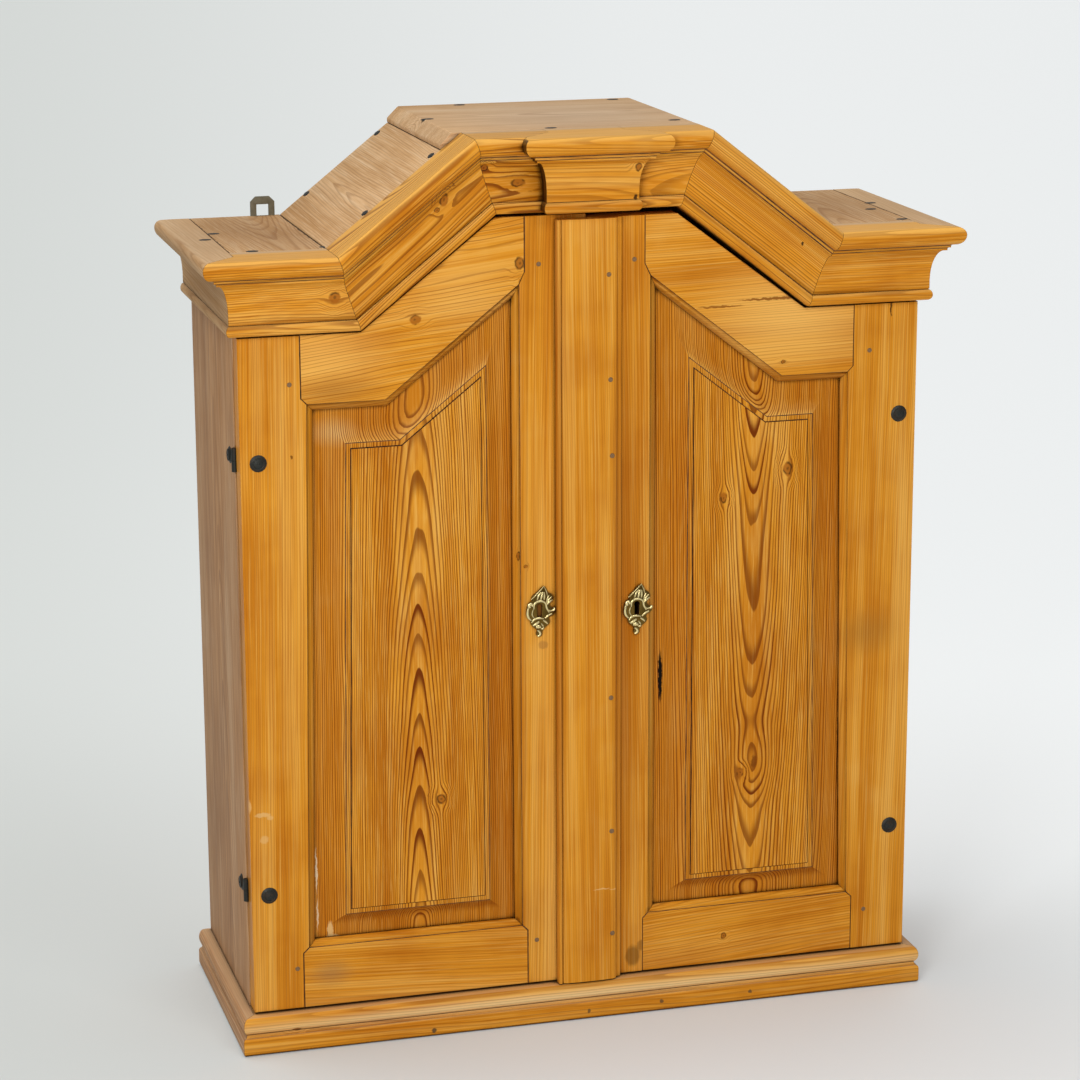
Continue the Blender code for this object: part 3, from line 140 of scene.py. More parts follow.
def pine(word, finish, heart, ring, contrast=1.0, wander=3.0, knots=(), swells=(), marks=(), stains_and_painted_light=(),
         sunk=None, worn_and_lit=None, shade_below=0.0, spring=0.46, dust=0.0, dust_behind=-100, sooty_ends=0.0, seed=0.0):
    """Sawn pine: yearly rings about the tree's heart, a line through two places, cut by the board's surface.

    ring is the rings' width in millimetres, contrast their strength, spring the pale share of each, and
    wander how far they stray. A knot, a swell, a ragged mark or a soft tint is a place, its three half-sizes
    in millimetres, and for a swell how far the rings shift, for a mark or a tint its colour and strength.
    The soft tints are stains, painted highlights and painted shadows.
    sunk deepens the colour from one depth to another. worn is how pale faces are that look up, from one
    steepness to another, partly wear and partly painted highlight, and grimy how dark faces are that look
    down, as painted shade. dust lies on level faces behind a depth, and sooty_ends blackens faces that
    look left.
    """
    material, tree, shader = new_material(f"{finish['slot']}_{word}")
    start, end = (at(*place) for place in heart)
    turn = (end - start).to_track_quat("X", "Z").inverted()
    spots = add_node(tree, "TexCoord").outputs["Object"]
    trunk = add_node(tree, "Mapping", {"Vector": spots, "Location": -(turn @ start),
                                       "Rotation": turn.to_euler()}).outputs["Vector"]

    def along_grain(stretch, detail, roughness=0.5, signed=False):
        """Noise drawn out along the tree: stretch is its waves per metre along and across."""
        long_waves, cross_waves = stretch
        drawn = add_node(tree, "VectorMath", {0: trunk, 1: (long_waves, cross_waves, cross_waves)},
                         operation="MULTIPLY")
        moved = add_node(tree, "VectorMath", {0: drawn.outputs["Vector"], 1: (seed, 7 * seed, 0)},
                         operation="ADD")
        noise = add_node(tree, "TexNoise", {"Vector": moved.outputs["Vector"], "Scale": 1, "Detail": detail,
                                            "Roughness": roughness}, normalize=not signed)
        return noise.outputs["Fac"]

    def near(place, half_sizes, source):
        """How far a point is from a place, as a share of its half-sizes."""
        scale = [size / 1000 for size in half_sizes]
        local = add_node(tree, "Mapping", {"Vector": source, "Location": at(*place), "Scale": scale},
                         vector_type="TEXTURE")
        return add_node(tree, "VectorMath", {0: local.outputs[0]}, operation="LENGTH").outputs["Value"]

    # The rings stray slowly along the board, and tremble by a fifth of a millimetre
    across = add_node(tree, "VectorMath", {0: trunk, 1: (0, 1, 1)}, operation="MULTIPLY").outputs["Vector"]
    radius = add_node(tree, "VectorMath", {0: across}, operation="LENGTH").outputs["Value"]
    for stretch, detail, reach in (((3.5, 15), 2, wander), ((9, 110), 1, 0.2)):
        stray = along_grain(stretch, detail, 0.42, signed=True)
        radius = add_node(tree, "Math", {0: stray, 1: reach / 1000, 2: radius},
                          operation="MULTIPLY_ADD").outputs[0]

    # Ragged places, so that knots and marks have no clean outline
    ragged = add_node(tree, "TexNoise", {"Vector": spots, "Scale": 180, "Detail": 2}).outputs["Color"]
    ragged = add_node(tree, "VectorMath", {0: ragged, 1: (0.5, 0.5, 0.5)}, operation="SUBTRACT")
    ragged = add_node(tree, "VectorMath", {0: ragged.outputs["Vector"], 1: (RAGGED_SHIFT,) * 3, 2: spots},
                      operation="MULTIPLY_ADD").outputs["Vector"]

    # Rings shift in a swell and bend round a knot
    for place, half_sizes, shift in swells:
        share = add_node(tree, "MapRange", {0: near(place, half_sizes, spots), 1: 1.0, 2: 0.0}, **SOFT)
        radius = add_node(tree, "Math", {0: share.outputs[0], 1: shift / 1000, 2: radius},
                          operation="MULTIPLY_ADD").outputs[0]
    knot_reach = []
    for place, half_sizes in knots:
        reach = near(place, half_sizes, ragged)
        knot_reach.append(reach)
        offset = turn @ (at(*place) - start)
        own_radius = Vector((0, offset.y, offset.z)).length
        pull = add_node(tree, "MapRange", {0: reach, 1: 3.8, 2: 0.7, 4: 0.88}, **SOFT).outputs[0]
        radius = add_node(tree, "Mix", {"Factor": pull, "A": radius, "B": own_radius}).outputs["Result"]

    # Good and bad years: the rings' widths vary. Each darkens slowly from spring to summer and ends sharply
    years = add_node(tree, "Math", {0: radius, 1: 110, 2: seed}, operation="MULTIPLY_ADD").outputs[0]
    uneven = add_node(tree, "TexNoise", {"W": years, "Scale": 1, "Detail": 1}, noise_dimensions="1D",
                      normalize=False).outputs["Fac"]
    radius = add_node(tree, "Math", {0: uneven, 1: UNEVEN_YEARS, 2: radius},
                      operation="MULTIPLY_ADD").outputs[0]
    count = add_node(tree, "Math", {0: radius, 1: 1000 / ring}, operation="MULTIPLY").outputs[0]
    year = add_node(tree, "Math", {0: count}, operation="FLOOR").outputs[0]
    part = add_node(tree, "Math", {0: count}, operation="FRACT").outputs[0]
    darkening = add_node(tree, "MapRange", {0: part, 1: spring, 2: 0.85}, **SOFT).outputs[0]
    ending = add_node(tree, "MapRange", {0: part, 1: 1.0, 2: 0.95}, **SOFT).outputs[0]
    summer = add_node(tree, "Math", {0: darkening, 1: ending}, operation="MULTIPLY").outputs[0]
    weather = add_node(tree, "TexWhiteNoise", {"W": year}, noise_dimensions="1D").outputs["Value"]
    strength = finish["contrast"] * contrast
    weather = add_node(tree, "MapRange", {0: weather, 1: 0, 2: 1, 3: 0.65 * strength, 4: strength}, **SOFT)
    summer = add_node(tree, "Math", {0: summer, 1: weather.outputs[0]}, operation="MULTIPLY").outputs[0]

    # Fibres about 2 mm wide and 150 mm long, streaks about 8 mm and bands about 30 mm wide
    fibre = along_grain((6, 480), 2, 0.6)
    streak = along_grain((1.6, 110), 2)
    band = along_grain((1.4, 32), 2)
    # Uneven varnish and handling, in clouds of about 120 mm
    cloud = add_node(tree, "VectorMath", {0: spots, 1: (seed, 0, seed)}, operation="ADD").outputs["Vector"]
    cloud = add_node(tree, "TexNoise", {"Vector": cloud, "Scale": 8, "Detail": 3, "Roughness": 0.55})
    cloud = cloud.outputs["Fac"]

    colour = lay(tree, finish["light"], finish["deep"], cloud, 0.44, 0.72, 0.6)
    colour = lay(tree, colour, finish["pale"], cloud, 0.42, 0.24, 0.5)
    for lines, share in ((band, 1.2), (streak, 0.9), (fibre, 1.0)):
        colour = lay(tree, colour, finish["deep"], lines, 0.48, 0.74, share * finish["streaks"])
        colour = lay(tree, colour, finish["pale"], lines, 0.50, 0.26, share * finish["streaks"])
    depth = add_node(tree, "SeparateXYZ", {0: spots}).outputs["Y"]
    facing = add_node(tree, "NewGeometry").outputs["Normal"]
    facing = add_node(tree, "SeparateXYZ", {0: facing}).outputs
    # Faces that look up are laid paler: partly wear, partly painted highlight
    if worn_and_lit:
        amount, begin, whole = worn_and_lit
        colour = lay(tree, colour, finish["pale"], facing["Z"], begin, whole, amount)
    # Painted shade: faces that look down are laid darker
    if shade_below:
        colour = lay(tree, colour, finish["dark"], facing["Z"], -0.04, -0.35, shade_below)
    if sunk:
        begin, whole, amount = sunk
        colour = lay(tree, colour, finish["deep"], depth, DOOR_FACE + begin / 1000, DOOR_FACE + whole / 1000,
                     amount)
    # Soft tints: stains, painted highlights and painted shadows
    for place, half_sizes, paint, amount in stains_and_painted_light:
        colour = lay(tree, colour, paint, near(place, half_sizes, spots), 1.0, 0.0, amount)
    colour = add_node(tree, "Mix", {"Factor": summer, 6: colour, 7: linear(finish["dark"])}, data_type="RGBA")
    colour = colour.outputs[2]
    # A knot's bark shows as a broken dark crescent
    broken = add_node(tree, "TexNoise", {"Vector": spots, "Scale": 110, "Detail": 1}).outputs["Fac"]
    broken = add_node(tree, "MapRange", {0: broken, 1: 0.38, 2: 0.56}, **SOFT).outputs[0]
    for reach in knot_reach:
        body = lay(tree, KNOT_HEART, KNOT_RIM, reach, 0.35, 0.1, 0.7)
        outer = add_node(tree, "MapRange", {0: reach, 1: 0.55, 2: 0.85}, **SOFT).outputs[0]
        bark = add_node(tree, "Math", {0: outer, 1: broken}, operation="MULTIPLY")
        knot = add_node(tree, "Mix", {"Factor": bark.outputs[0], 6: body, 7: linear(KNOT_RIM)},
                        data_type="RGBA").outputs[2]
        colour = lay(tree, colour, knot, reach, 1.25, 0.85, 0.85)
    for place, half_sizes, paint, amount in marks:
        colour = lay(tree, colour, paint, near(place, half_sizes, ragged), 1.2, 0.7, amount)
    if dust:
        begin = DOOR_FACE + dust_behind / 1000
        level = add_node(tree, "MapRange", {0: facing["Z"], 1: 0.80, 2: 0.99, 4: dust}, **SOFT).outputs[0]
        behind = add_node(tree, "MapRange", {0: depth, 1: begin, 2: begin + DUST_FADE}, **SOFT).outputs[0]
        share = add_node(tree, "Math", {0: level, 1: behind}, operation="MULTIPLY")
        colour = add_node(tree, "Mix", {"Factor": share.outputs[0], 6: colour, 7: linear(finish["dust"])},
                          data_type="RGBA").outputs[2]
    if sooty_ends:
        colour = lay(tree, colour, finish["dirt_and_shade"], facing["X"], -0.25, -0.75, sooty_ends)
    # Painted shade in the corners, and grime in the open joints: darker where ambient occlusion finds near
    # surfaces
    corner = add_node(tree, "AmbientOcclusion", {"Distance": CORNER_SHADE_REACH}, samples=6).outputs["AO"]
    colour = lay(tree, colour, finish["dirt_and_shade"], corner, 0.80, 0.34, 0.88)

    tree.links.new(colour, shader.inputs["Base Color"])
    smooth, rough = finish["roughness"] - 0.06, finish["roughness"] + 0.08
    roughness = add_node(tree, "MapRange", {0: fibre, 1: 0.2, 2: 0.8, 3: smooth, 4: rough}, **SOFT)
    tree.links.new(roughness.outputs[0], shader.inputs["Roughness"])
    shader.inputs["Specular IOR Level"].default_value = finish["gloss"]
    height = add_node(tree, "Math", {0: summer, 1: fibre}, operation="ADD").outputs[0]
    bump = add_node(tree, "Bump", {"Strength": finish["relief"], "Distance": GRAIN_HEIGHT, "Height": height})
    tree.links.new(bump.outputs[0], shader.inputs["Normal"])
    return material, finish["slot"]


PIT_DEPTH = 0.0005


def black_iron():
    """Forged iron blackened by fire and oil: nearly black, a little brown, pitted about 1 mm apart."""
    material, tree, shader = new_material("black_iron")
    spots = add_node(tree, "TexCoord").outputs["Object"]
    pits = add_node(tree, "TexNoise", {"Vector": spots, "Scale": 900, "Detail": 3}).outputs["Fac"]
    rust = add_node(tree, "TexNoise", {"Vector": spots, "Scale": 160, "Detail": 2}).outputs["Fac"]
    colour = lay(tree, "#2B2C28", "#3C3024", rust, 0.5, 0.75, step="LINEAR")
    tree.links.new(colour, shader.inputs["Base Color"])
    shader.inputs["Metallic"].default_value = 0.55
    shader.inputs["Roughness"].default_value = 0.46
    bump = add_node(tree, "Bump", {"Strength": 0.35, "Distance": PIT_DEPTH, "Height": pits})
    tree.links.new(bump.outputs[0], shader.inputs["Normal"])
    return material


def grey_iron():
    """Hoop iron grown dull in the air: olive grey, matt, faintly mottled."""
    material, tree, shader = new_material("grey_iron")
    spots = add_node(tree, "TexCoord").outputs["Object"]
    mottle = add_node(tree, "TexNoise", {"Vector": spots, "Scale": 220, "Detail": 3}).outputs["Fac"]
    colour = add_node(tree, "Mix", {"Factor": mottle, 6: linear("#55503F"), 7: linear("#7C755F")},
                      data_type="RGBA")
    tree.links.new(colour.outputs[2], shader.inputs["Base Color"])
    shader.inputs["Metallic"].default_value = 0.35
    shader.inputs["Roughness"].default_value = 0.65
    return material


RIDGE_POLISH_AND_HIGHLIGHT = 0.0011
BRASS_GRIME = 0.0022


def old_brass(plate_face):
    """Cast brass, polished where its ridges stand out from the plate's face, the polish partly painted
    highlight, and brown in its hollows.
    """
    material, tree, shader = new_material("old_brass")
    spots = add_node(tree, "TexCoord").outputs["Object"]
    depth = add_node(tree, "SeparateXYZ", {0: spots}).outputs["Y"]
    colour = lay(tree, "#6E5626", "#F0DDA0", depth, plate_face, plate_face - RIDGE_POLISH_AND_HIGHLIGHT)
    hollow = add_node(tree, "AmbientOcclusion", {"Distance": BRASS_GRIME}, samples=8).outputs["AO"]
    colour = lay(tree, colour, "#1A1006", hollow, 0.78, 0.42, step="LINEAR")
    tree.links.new(colour, shader.inputs["Base Color"])
    shader.inputs["Metallic"].default_value = 1.0
    shader.inputs["Roughness"].default_value = 0.28
    return material


def peg_wood():
    """Oak pegs cut off flush: grey-brown end grain, dull."""
    material, tree, shader = new_material("oak_end_grain")
    spots = add_node(tree, "TexCoord").outputs["Object"]
    grain = add_node(tree, "TexNoise", {"Vector": spots, "Scale": 700, "Detail": 2}).outputs["Fac"]
    colour = add_node(tree, "Mix", {"Factor": grain, 6: linear("#5E4326"), 7: linear("#94714A")},
                      data_type="RGBA")
    tree.links.new(colour.outputs[2], shader.inputs["Base Color"])
    shader.inputs["Roughness"].default_value = 0.7
    return material


def grime_and_shade():
    """Wax and dust packed into joints and scratched lines, and laid as painted shade in quirks and along the
    panels' fillets:
    dark brown and dull.
    """
    material, tree, shader = new_material("grime_and_shade")
    spots = add_node(tree, "TexCoord").outputs["Object"]
    patchy = add_node(tree, "TexNoise", {"Vector": spots, "Scale": 90, "Detail": 3}).outputs["Fac"]
    colour = lay(tree, "#2A1608", "#7A4614", patchy, 0.35, 0.65, step="LINEAR")
    tree.links.new(colour, shader.inputs["Base Color"])
    shader.inputs["Roughness"].default_value = 0.7
    return material


# Colours of marks and soft tints: bare wood, soot and painted shadow lines, pale wear with painted sheen,
# dark grain, chipped edges, wax, stains, the cover strip's painted shade and a grey-brown for the roof boards
# and returns
BARE = "#E4B878"
SOOT_AND_SHADE = "#2C1A0E"
PALE_WEAR_AND_SHEEN = "#F0B860"
LINE = "#7A3E08"
CHIPPED = "#EAD7B4"
WAXED = "#C9B48C"
NAIL_STAIN = "#5A4630"
STRIP_SHADE = "#A85C0C"
ROOF_SHADE = "#94704C"
# What the panels and the cornice have in common, with wear and painted highlight on faces that look up and,
# on the panels, painted shade on faces that look down
PANEL_WEAR_AND_PAINTED_LIGHT = dict(wander=2.2, sunk=(3.0, 6.5, 0.45), worn_and_lit=(0.6, 0.06, 0.40), shade_below=0.6)
CORNICE_WEAR_AND_SHEEN = dict(dust=0.9, dust_behind=8, worn_and_lit=(0.75, 0.2, 0.7))

PINE = {
    "left_door_panel": pine(
        "left_panel", VARNISHED, ((-194, 23, 60), (-194, 53, 800)), 2.0, **PANEL_WEAR_AND_PAINTED_LIGHT,
        knots=[((-170, 2, 278), (5, 30, 6))],
        # A pale patch on the hollow's upper left corner: dust and painted highlight
        stains_and_painted_light=[((-285, 6, 706), (38, 12, 22), "#DDB272", 0.7)],
        marks=[((-313.4, 8, 205), (1.1, 9, 26), CHIPPED, 0.75),
               ((-313.2, 8, 152), (1.0, 9, 18), CHIPPED, 0.65),
               ((-299, 8, 131), (3.4, 9, 12), BARE, 0.85), ((-296, 8, 123), (9, 9, 4), BARE, 0.6),
               ((-314.5, 8, 640), (0.9, 9, 60), WAXED, 0.7), ((-314.5, 8, 480), (0.9, 9, 50), WAXED, 0.6)]),
    "right_door_panel": pine(
        "right_panel", VARNISHED, ((197, 60, 130), (197, 33, 800)), 2.0, **PANEL_WEAR_AND_PAINTED_LIGHT, seed=3.1,
        knots=[((161, 2, 603), (4, 30, 6)), ((237, 2, 632), (5, 30, 8)), ((184, 2, 276), (4, 30, 5))],
        swells=[((202, 2, 284), (40, 80, 62), -4.5)],
        marks=[((89.5, 8, 397), (2.8, 9, 30), "#100904", 1.0), ((201, 2, 288), (3.6, 6, 8), LINE, 0.85),
               ((306, 8, 330), (0.9, 9, 90), SOOT_AND_SHADE, 0.7), ((306, 8, 560), (0.9, 9, 70), SOOT_AND_SHADE, 0.6)]),
    "left_door_outer_stile": pine(
        "left_outer_stile", VARNISHED, ((-470, 60, 0), (-455, 60, 900)), 2.4, 0.28, seed=1.2,
        marks=[((-374, 0, 279), (9, 6, 2.6), BARE, 0.6), ((-366, 0, 275), (4, 6, 3), BARE, 0.5),
               ((-373, 0, 250), (5, 6, 5), BARE, 0.45), ((-389, 0, 290), (2.2, 6, 8), BARE, 0.6),
               ((-332.6, 0, 683), (1.2, 6, 2.6), "#6A3A10", 0.8)]),
    "left_door_inner_stile": pine(
        "left_inner_stile", VARNISHED, ((-150, 75, 0), (-138, 75, 900)), 2.4, 0.25, seed=2.4,
        knots=[((-79, 0, 553), (1.7, 25, 5)), ((-70.5, 0, 541), (2.2, 25, 1.9))],
        marks=[((-55.6, 0, 490), (5, 9, 10), "#5E2C06", 0.85), ((-51, 0, 449), (6, 6, 5), "#A06A34", 0.5),
               ((-82, 0, 120), (3, 6, 8), LINE, 0.7)]),
    "left_door_top_rail": pine(
        "left_top_rail", VARNISHED, ((-380, 34, 856), (-60, 38, 894)), 3.2, 0.5, wander=8, spring=0.72,
        shade_below=0.5, seed=0.7,
        knots=[((-193, 0, 826), (6, 30, 5)), ((-76, 0, 882), (5, 30, 7)), ((-73, 0, 861), (4, 30, 4))],
        # Pale wear with painted sheen across the top rail
        stains_and_painted_light=[((-300, 0, 790), (110, 30, 60), PALE_WEAR_AND_SHEEN, 0.6), ((-140, 0, 850), (90, 30, 50), PALE_WEAR_AND_SHEEN, 0.45),
               ((-285, 0, 752), (80, 30, 26), "#A86C28", 0.6)]),
    "left_door_bottom_rail": pine(
        "left_bottom_rail", VARNISHED, ((-390, 60, 10), (0, 65, -10)), 2.6, 0.28, seed=5.2,
        stains_and_painted_light=[((-300, 0, 84), (34, 30, 24), "#A87C48", 0.6)]),
    "right_door_outer_stile": pine(
        "right_outer_stile", VARNISHED, ((465, 55, 0), (478, 50, 900)), 2.4, 0.28, seed=6.3,
        stains_and_painted_light=[((336, 0, 432), (54, 30, 40), "#A8742E", 0.5)],
        marks=[((357, 0, 810), (1.0, 6, 10), SOOT_AND_SHADE, 0.85)]),
    "right_door_inner_stile": pine(
        "right_inner_stile", VARNISHED, ((150, 70, 0), (140, 70, 900)), 2.4, 0.28, seed=7.7,
        # Painted shadow of the cover strip down the stile beside it
        stains_and_painted_light=[((44, 0, 470), (26, 40, 560), "#A2560C", 0.75)],
        # Black behind the keyhole: painted shade in the hole
        marks=[((58, 12, 484), (6, 40, 11), "#0C0704", 1.0), ((55, 0, 66), (9, 6, 13), SOOT_AND_SHADE, 0.5),
               ((66, 0, 78), (6, 6, 7), SOOT_AND_SHADE, 0.4), ((74, 0, 112), (5, 6, 12), SOOT_AND_SHADE, 0.35)]),
    "right_door_top_rail": pine(
        "right_top_rail", VARNISHED, ((70, 60, 690), (390, 60, 700)), 2.6, 0.32, wander=4, spring=0.6,
        shade_below=0.5, seed=8.1,
        knots=[((229, 0, 756), (3, 20, 2))],
        # Pale wear with painted sheen across the top rail
        stains_and_painted_light=[((240, 0, 810), (150, 30, 80), PALE_WEAR_AND_SHEEN, 0.85)],
        marks=[((155, 0, 822), (26, 6, 1.3), LINE, 0.75), ((215, 0, 828), (38, 6, 1.5), LINE, 0.8),
               ((262, 0, 822), (16, 6, 1.4), LINE, 0.75)]),
    "right_door_bottom_rail": pine(
        "right_bottom_rail", VARNISHED, ((0, 60, 0), (390, 55, 20)), 2.6, 0.35, wander=4, seed=9.4,
        knots=[((165.6, 0, 78.5), (3, 20, 4))]),
    "cover_strip": pine(
        "cover_strip", VARNISHED, ((-140, 60, 0), (-150, 60, 930)), 2.4, 0.2, seed=4.4,
        # Painted shade along both edges of the strip
        stains_and_painted_light=[((36, -12, 450), (15, 30, 620), STRIP_SHADE, 0.8),
               ((-34, -12, 450), (12, 30, 620), STRIP_SHADE, 0.6)],
        marks=[((14, -12, 156), (10, 5, 0.8), BARE, 0.6), ((29, -12, 154), (6, 5, 0.8), BARE, 0.5)]),
    "cornice_left_shoulder": pine(
        "left_shoulder", VARNISHED, ((-440, 40, 790), (-230, 50, 800)), 2.2, 0.55, wander=4, seed=1.9,
        knots=[((-283.5, -12, 857), (6, 25, 6))], **CORNICE_WEAR_AND_SHEEN),
    "cornice_left_slope": pine(
        "left_slope", VARNISHED, ((-290, 12, 846), (-130, 16, 984)), 2.6, 0.7, wander=6, seed=3.6,
        knots=[((-163.5, -14, 957), (5, 25, 7)), ((-171, -14, 946), (3, 25, 3))], **CORNICE_WEAR_AND_SHEEN),
    "cornice_left_crown": pine(
        "left_crown", VARNISHED, ((-140, 30, 968), (-40, 34, 972)), 3.2, 0.85, wander=7, seed=2.2,
        knots=[((-119, -14, 990), (4, 25, 4)), ((-80, -14, 971), (8, 25, 4))], **CORNICE_WEAR_AND_SHEEN),
    "cornice_crown_block": pine(
        "crown_block", VARNISHED, ((-90, 55, 945), (90, 60, 940)), 2.6, 0.4, seed=5.9, sooty_ends=0.85,
        knots=[((50, -20, 986), (4, 25, 5))],
        marks=[((48, -24, 952), (2, 12, 3), SOOT_AND_SHADE, 0.9)], **CORNICE_WEAR_AND_SHEEN),
    "cornice_right_crown": pine(
        "right_crown", VARNISHED, ((40, 60, 955), (130, 55, 950)), 2.8, 0.55, wander=4, seed=6.8,
        **CORNICE_WEAR_AND_SHEEN),
    "cornice_right_slope": pine(
        "right_slope", VARNISHED, ((110, 90, 900), (290, 90, 758)), 1.5, 0.6, wander=1.2, seed=7.1,
        marks=[((245, -14, 890), (1.6, 14, 2.6), SOOT_AND_SHADE, 0.9)], **CORNICE_WEAR_AND_SHEEN),
    "cornice_right_shoulder": pine(
        "right_shoulder", VARNISHED, ((230, 70, 780), (440, 75, 785)), 2.2, 0.35, seed=8.8,
        **CORNICE_WEAR_AND_SHEEN),
    "plinth_front": pine(
        "plinth", VARNISHED, ((-400, 60, -30), (400, 65, -35)), 2.4, 0.38, wander=4, seed=9.9, dust=0.5,
        knots=[((-344, -14, 26), (5, 20, 2))],
        marks=[((-186, -15, 7), (3, 12, 3), NAIL_STAIN, 0.9),
               ((-2, -15, 10), (2.4, 12, 2.4), NAIL_STAIN, 0.8),
               ((86, -15, 12), (2.4, 12, 2.4), NAIL_STAIN, 0.8),
               ((194, -15, 12), (2.4, 12, 2.4), NAIL_STAIN, 0.8)],
        # Pale along the plinth's nose: wear and painted highlight
        stains_and_painted_light=[((0, -14, 30), (900, 18, 12), "#F6D498", 0.9)]),
    "plinth_left": pine(
        "plinth_left", GREYED, ((-340, 0, 60), (-345, 280, 62)), 2.8, wander=4, seed=1.4, dust=0.6),
    "plinth_right": pine(
        "plinth_right", GREYED, ((340, 0, 60), (345, 280, 62)), 2.8, wander=4, seed=2.6, dust=0.6),
    "cornice_left_return": pine(
        "left_return", DUSTY, ((-340, 0, 800), (-345, 280, 808)), 2.4, 0.6, seed=3.3, dust=0.3,
        stains_and_painted_light=[((-410, 120, 870), (120, 300, 120), ROOF_SHADE, 0.7)]),
    "cornice_right_return": pine(
        "right_return", DUSTY, ((340, 0, 800), (345, 280, 808)), 2.4, 0.6, seed=4.7, dust=0.3,
        stains_and_painted_light=[((410, 120, 870), (120, 300, 120), ROOF_SHADE, 0.7)]),
    "left_side": pine(
        "left_side", GREYED, ((-440, 130, 0), (-470, 150, 900)), 3.4, wander=5, seed=5.5),
    "right_side": pine(
        "right_side", GREYED, ((440, 150, 0), (470, 140, 900)), 3.4, wander=5, seed=6.2),
    "left_shoulder_roof_board": pine(
        "left_shoulder", DUSTY, ((-320, 20, 860), (-325, 280, 872)), 2.6, 0.8, wander=5, seed=7.4,
        stains_and_painted_light=[((-330, 150, 904), (160, 300, 60), ROOF_SHADE, 0.6)],
        # Dark lines across the board at its seams: painted shadow lines
        marks=[((-285.5, 150, 904), (1.6, 150, 8), SOOT_AND_SHADE, 0.8),
               ((-389.5, 150, 904), (1.1, 160, 6), SOOT_AND_SHADE, 0.8)]),
    "right_shoulder_roof_board": pine(
        "right_shoulder", DUSTY, ((320, 20, 872), (330, 280, 860)), 2.6, 0.8, wander=5, seed=8.5,
        stains_and_painted_light=[((330, 150, 904), (160, 300, 60), ROOF_SHADE, 0.6)],
        # Dark lines across the board at its seams: painted shadow lines
        marks=[((285.5, 150, 904), (1.6, 150, 8), SOOT_AND_SHADE, 0.8),
               ((389.5, 150, 904), (1.1, 160, 6), SOOT_AND_SHADE, 0.8)]),
    "left_slope_roof_board": pine(
        "left_slope", DUSTY, ((-232, 20, 940), (-225, 280, 938)), 2.6, 0.62, wander=6, seed=9.2),
    "right_slope_roof_board": pine(
        "right_slope", DUSTY, ((232, 20, 938), (225, 280, 945)), 2.6, 0.62, wander=6, seed=0.4),
    "crown_roof_board": pine(
        "crown", DUSTY, ((-160, 170, 960), (160, 160, 968)), 2.8, 0.7, wander=6, seed=1.7,
        stains_and_painted_light=[((20, 130, 1023), (260, 260, 40), "#C4AE96", 0.6)]),
    "back_panel": pine(
        "back", INSIDE, ((-60, 330, 0), (-40, 340, 1000)), 3.8, wander=7, seed=2.9),
    "bottom_board": pine(
        "bottom", INSIDE, ((-390, 150, 0), (390, 160, -10)), 3.6, wander=5, seed=3.8),
    "lower_shelf": pine(
        "lower_shelf", INSIDE, ((-390, 150, 290), (390, 140, 280)), 3.6, wander=5, seed=4.9),
    "upper_shelf": pine(
        "upper_shelf", INSIDE, ((-390, 170, 570), (390, 150, 560)), 3.6, wander=5, seed=5.7),
    "frieze_board": pine(
        "frieze", INSIDE, ((-390, 80, 850), (390, 80, 860)), 3.4, wander=4, seed=6.6),
}
BLACK_IRON = black_iron()
GREY_IRON = grey_iron()
OLD_BRASS = old_brass(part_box("right_escutcheon")[0].y)
PEG_WOOD = peg_wood()
GRIME_AND_SHADE = grime_and_shade()


def to_mesh(bm, name):
    """Ends a mesh."""
    mesh = bpy.data.meshes.new(name)
    bm.to_mesh(mesh)
    bm.free()
    return mesh


def take_in(bm, mesh):
    """Adds a finished mesh to one in the making."""
    bm.from_mesh(mesh)
    bpy.data.meshes.remove(mesh)


def welded(node):
    """A copy of a solid, welded, with its flat facets joined."""
    bm = bmesh.new()
    bm.from_mesh(frame["nodes"][node].data)
    bmesh.ops.remove_doubles(bm, verts=bm.verts, dist=0.00002)
    bmesh.ops.dissolve_limit(bm, angle_limit=radians(0.6), verts=bm.verts, edges=bm.edges)
    return bm


def bevel(bm, edges, size, segments=1, kind="OFFSET"):
    """Bevels edges and gives back the new faces."""
    return bmesh.ops.bevel(bm, geom=edges, offset=size, offset_type=kind, segments=segments, profile=0.5,
                           affect="EDGES", clamp_overlap=True, material=-1)["faces"]


def is_sharp(edge):
    return len(edge.link_faces) == 2 and edge.calc_face_angle() > radians(30)


def ease(bm, radius, chosen, segments=2):
    """Rounds the chosen sharp edges."""
    bevel(bm, [edge for edge in bm.edges if is_sharp(edge) and chosen(edge)], radius, segments)


def longer_than(size):
    return lambda edge: edge.calc_length() > size


def show(bm, name, body, slot, material, replaced=(), sharp=34):
    """Ends a piece: its mesh, finish and body, and the solids that it stands for; its slot is not used.

    Edges stay crisp above so many degrees, or where they are marked if none are given.
    """
    mesh = to_mesh(bm, name)
    mesh.materials.append(material)
    mesh.shade_smooth()
    if sharp:
        mesh.set_sharp_from_angle(angle=radians(sharp))
    piece = bpy.data.objects.new(name, mesh)
    scene.collection.objects.link(piece)
    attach(piece, body)
    if replaced:
        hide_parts(*replaced)
    return piece


def show_board(node, bm, **options):
    """A finished board in place of its solid."""
    material, slot = PINE[node]
    return show(bm, f"fine_{node}", BODY_OF[node], slot, material, [node], **options)


# A grimed board's finishes are its wood and then the grime, laid also as painted shade in quirks and along
# fillets
GRIMED_OR_SHADED = 1


def show_board_with_grime_and_shade(node, bm, **options):
    """A finished board, some of whose faces are dark with wax and dust or painted as shade."""
    show_board(node, bm, **options).data.materials.append(GRIME_AND_SHADE)


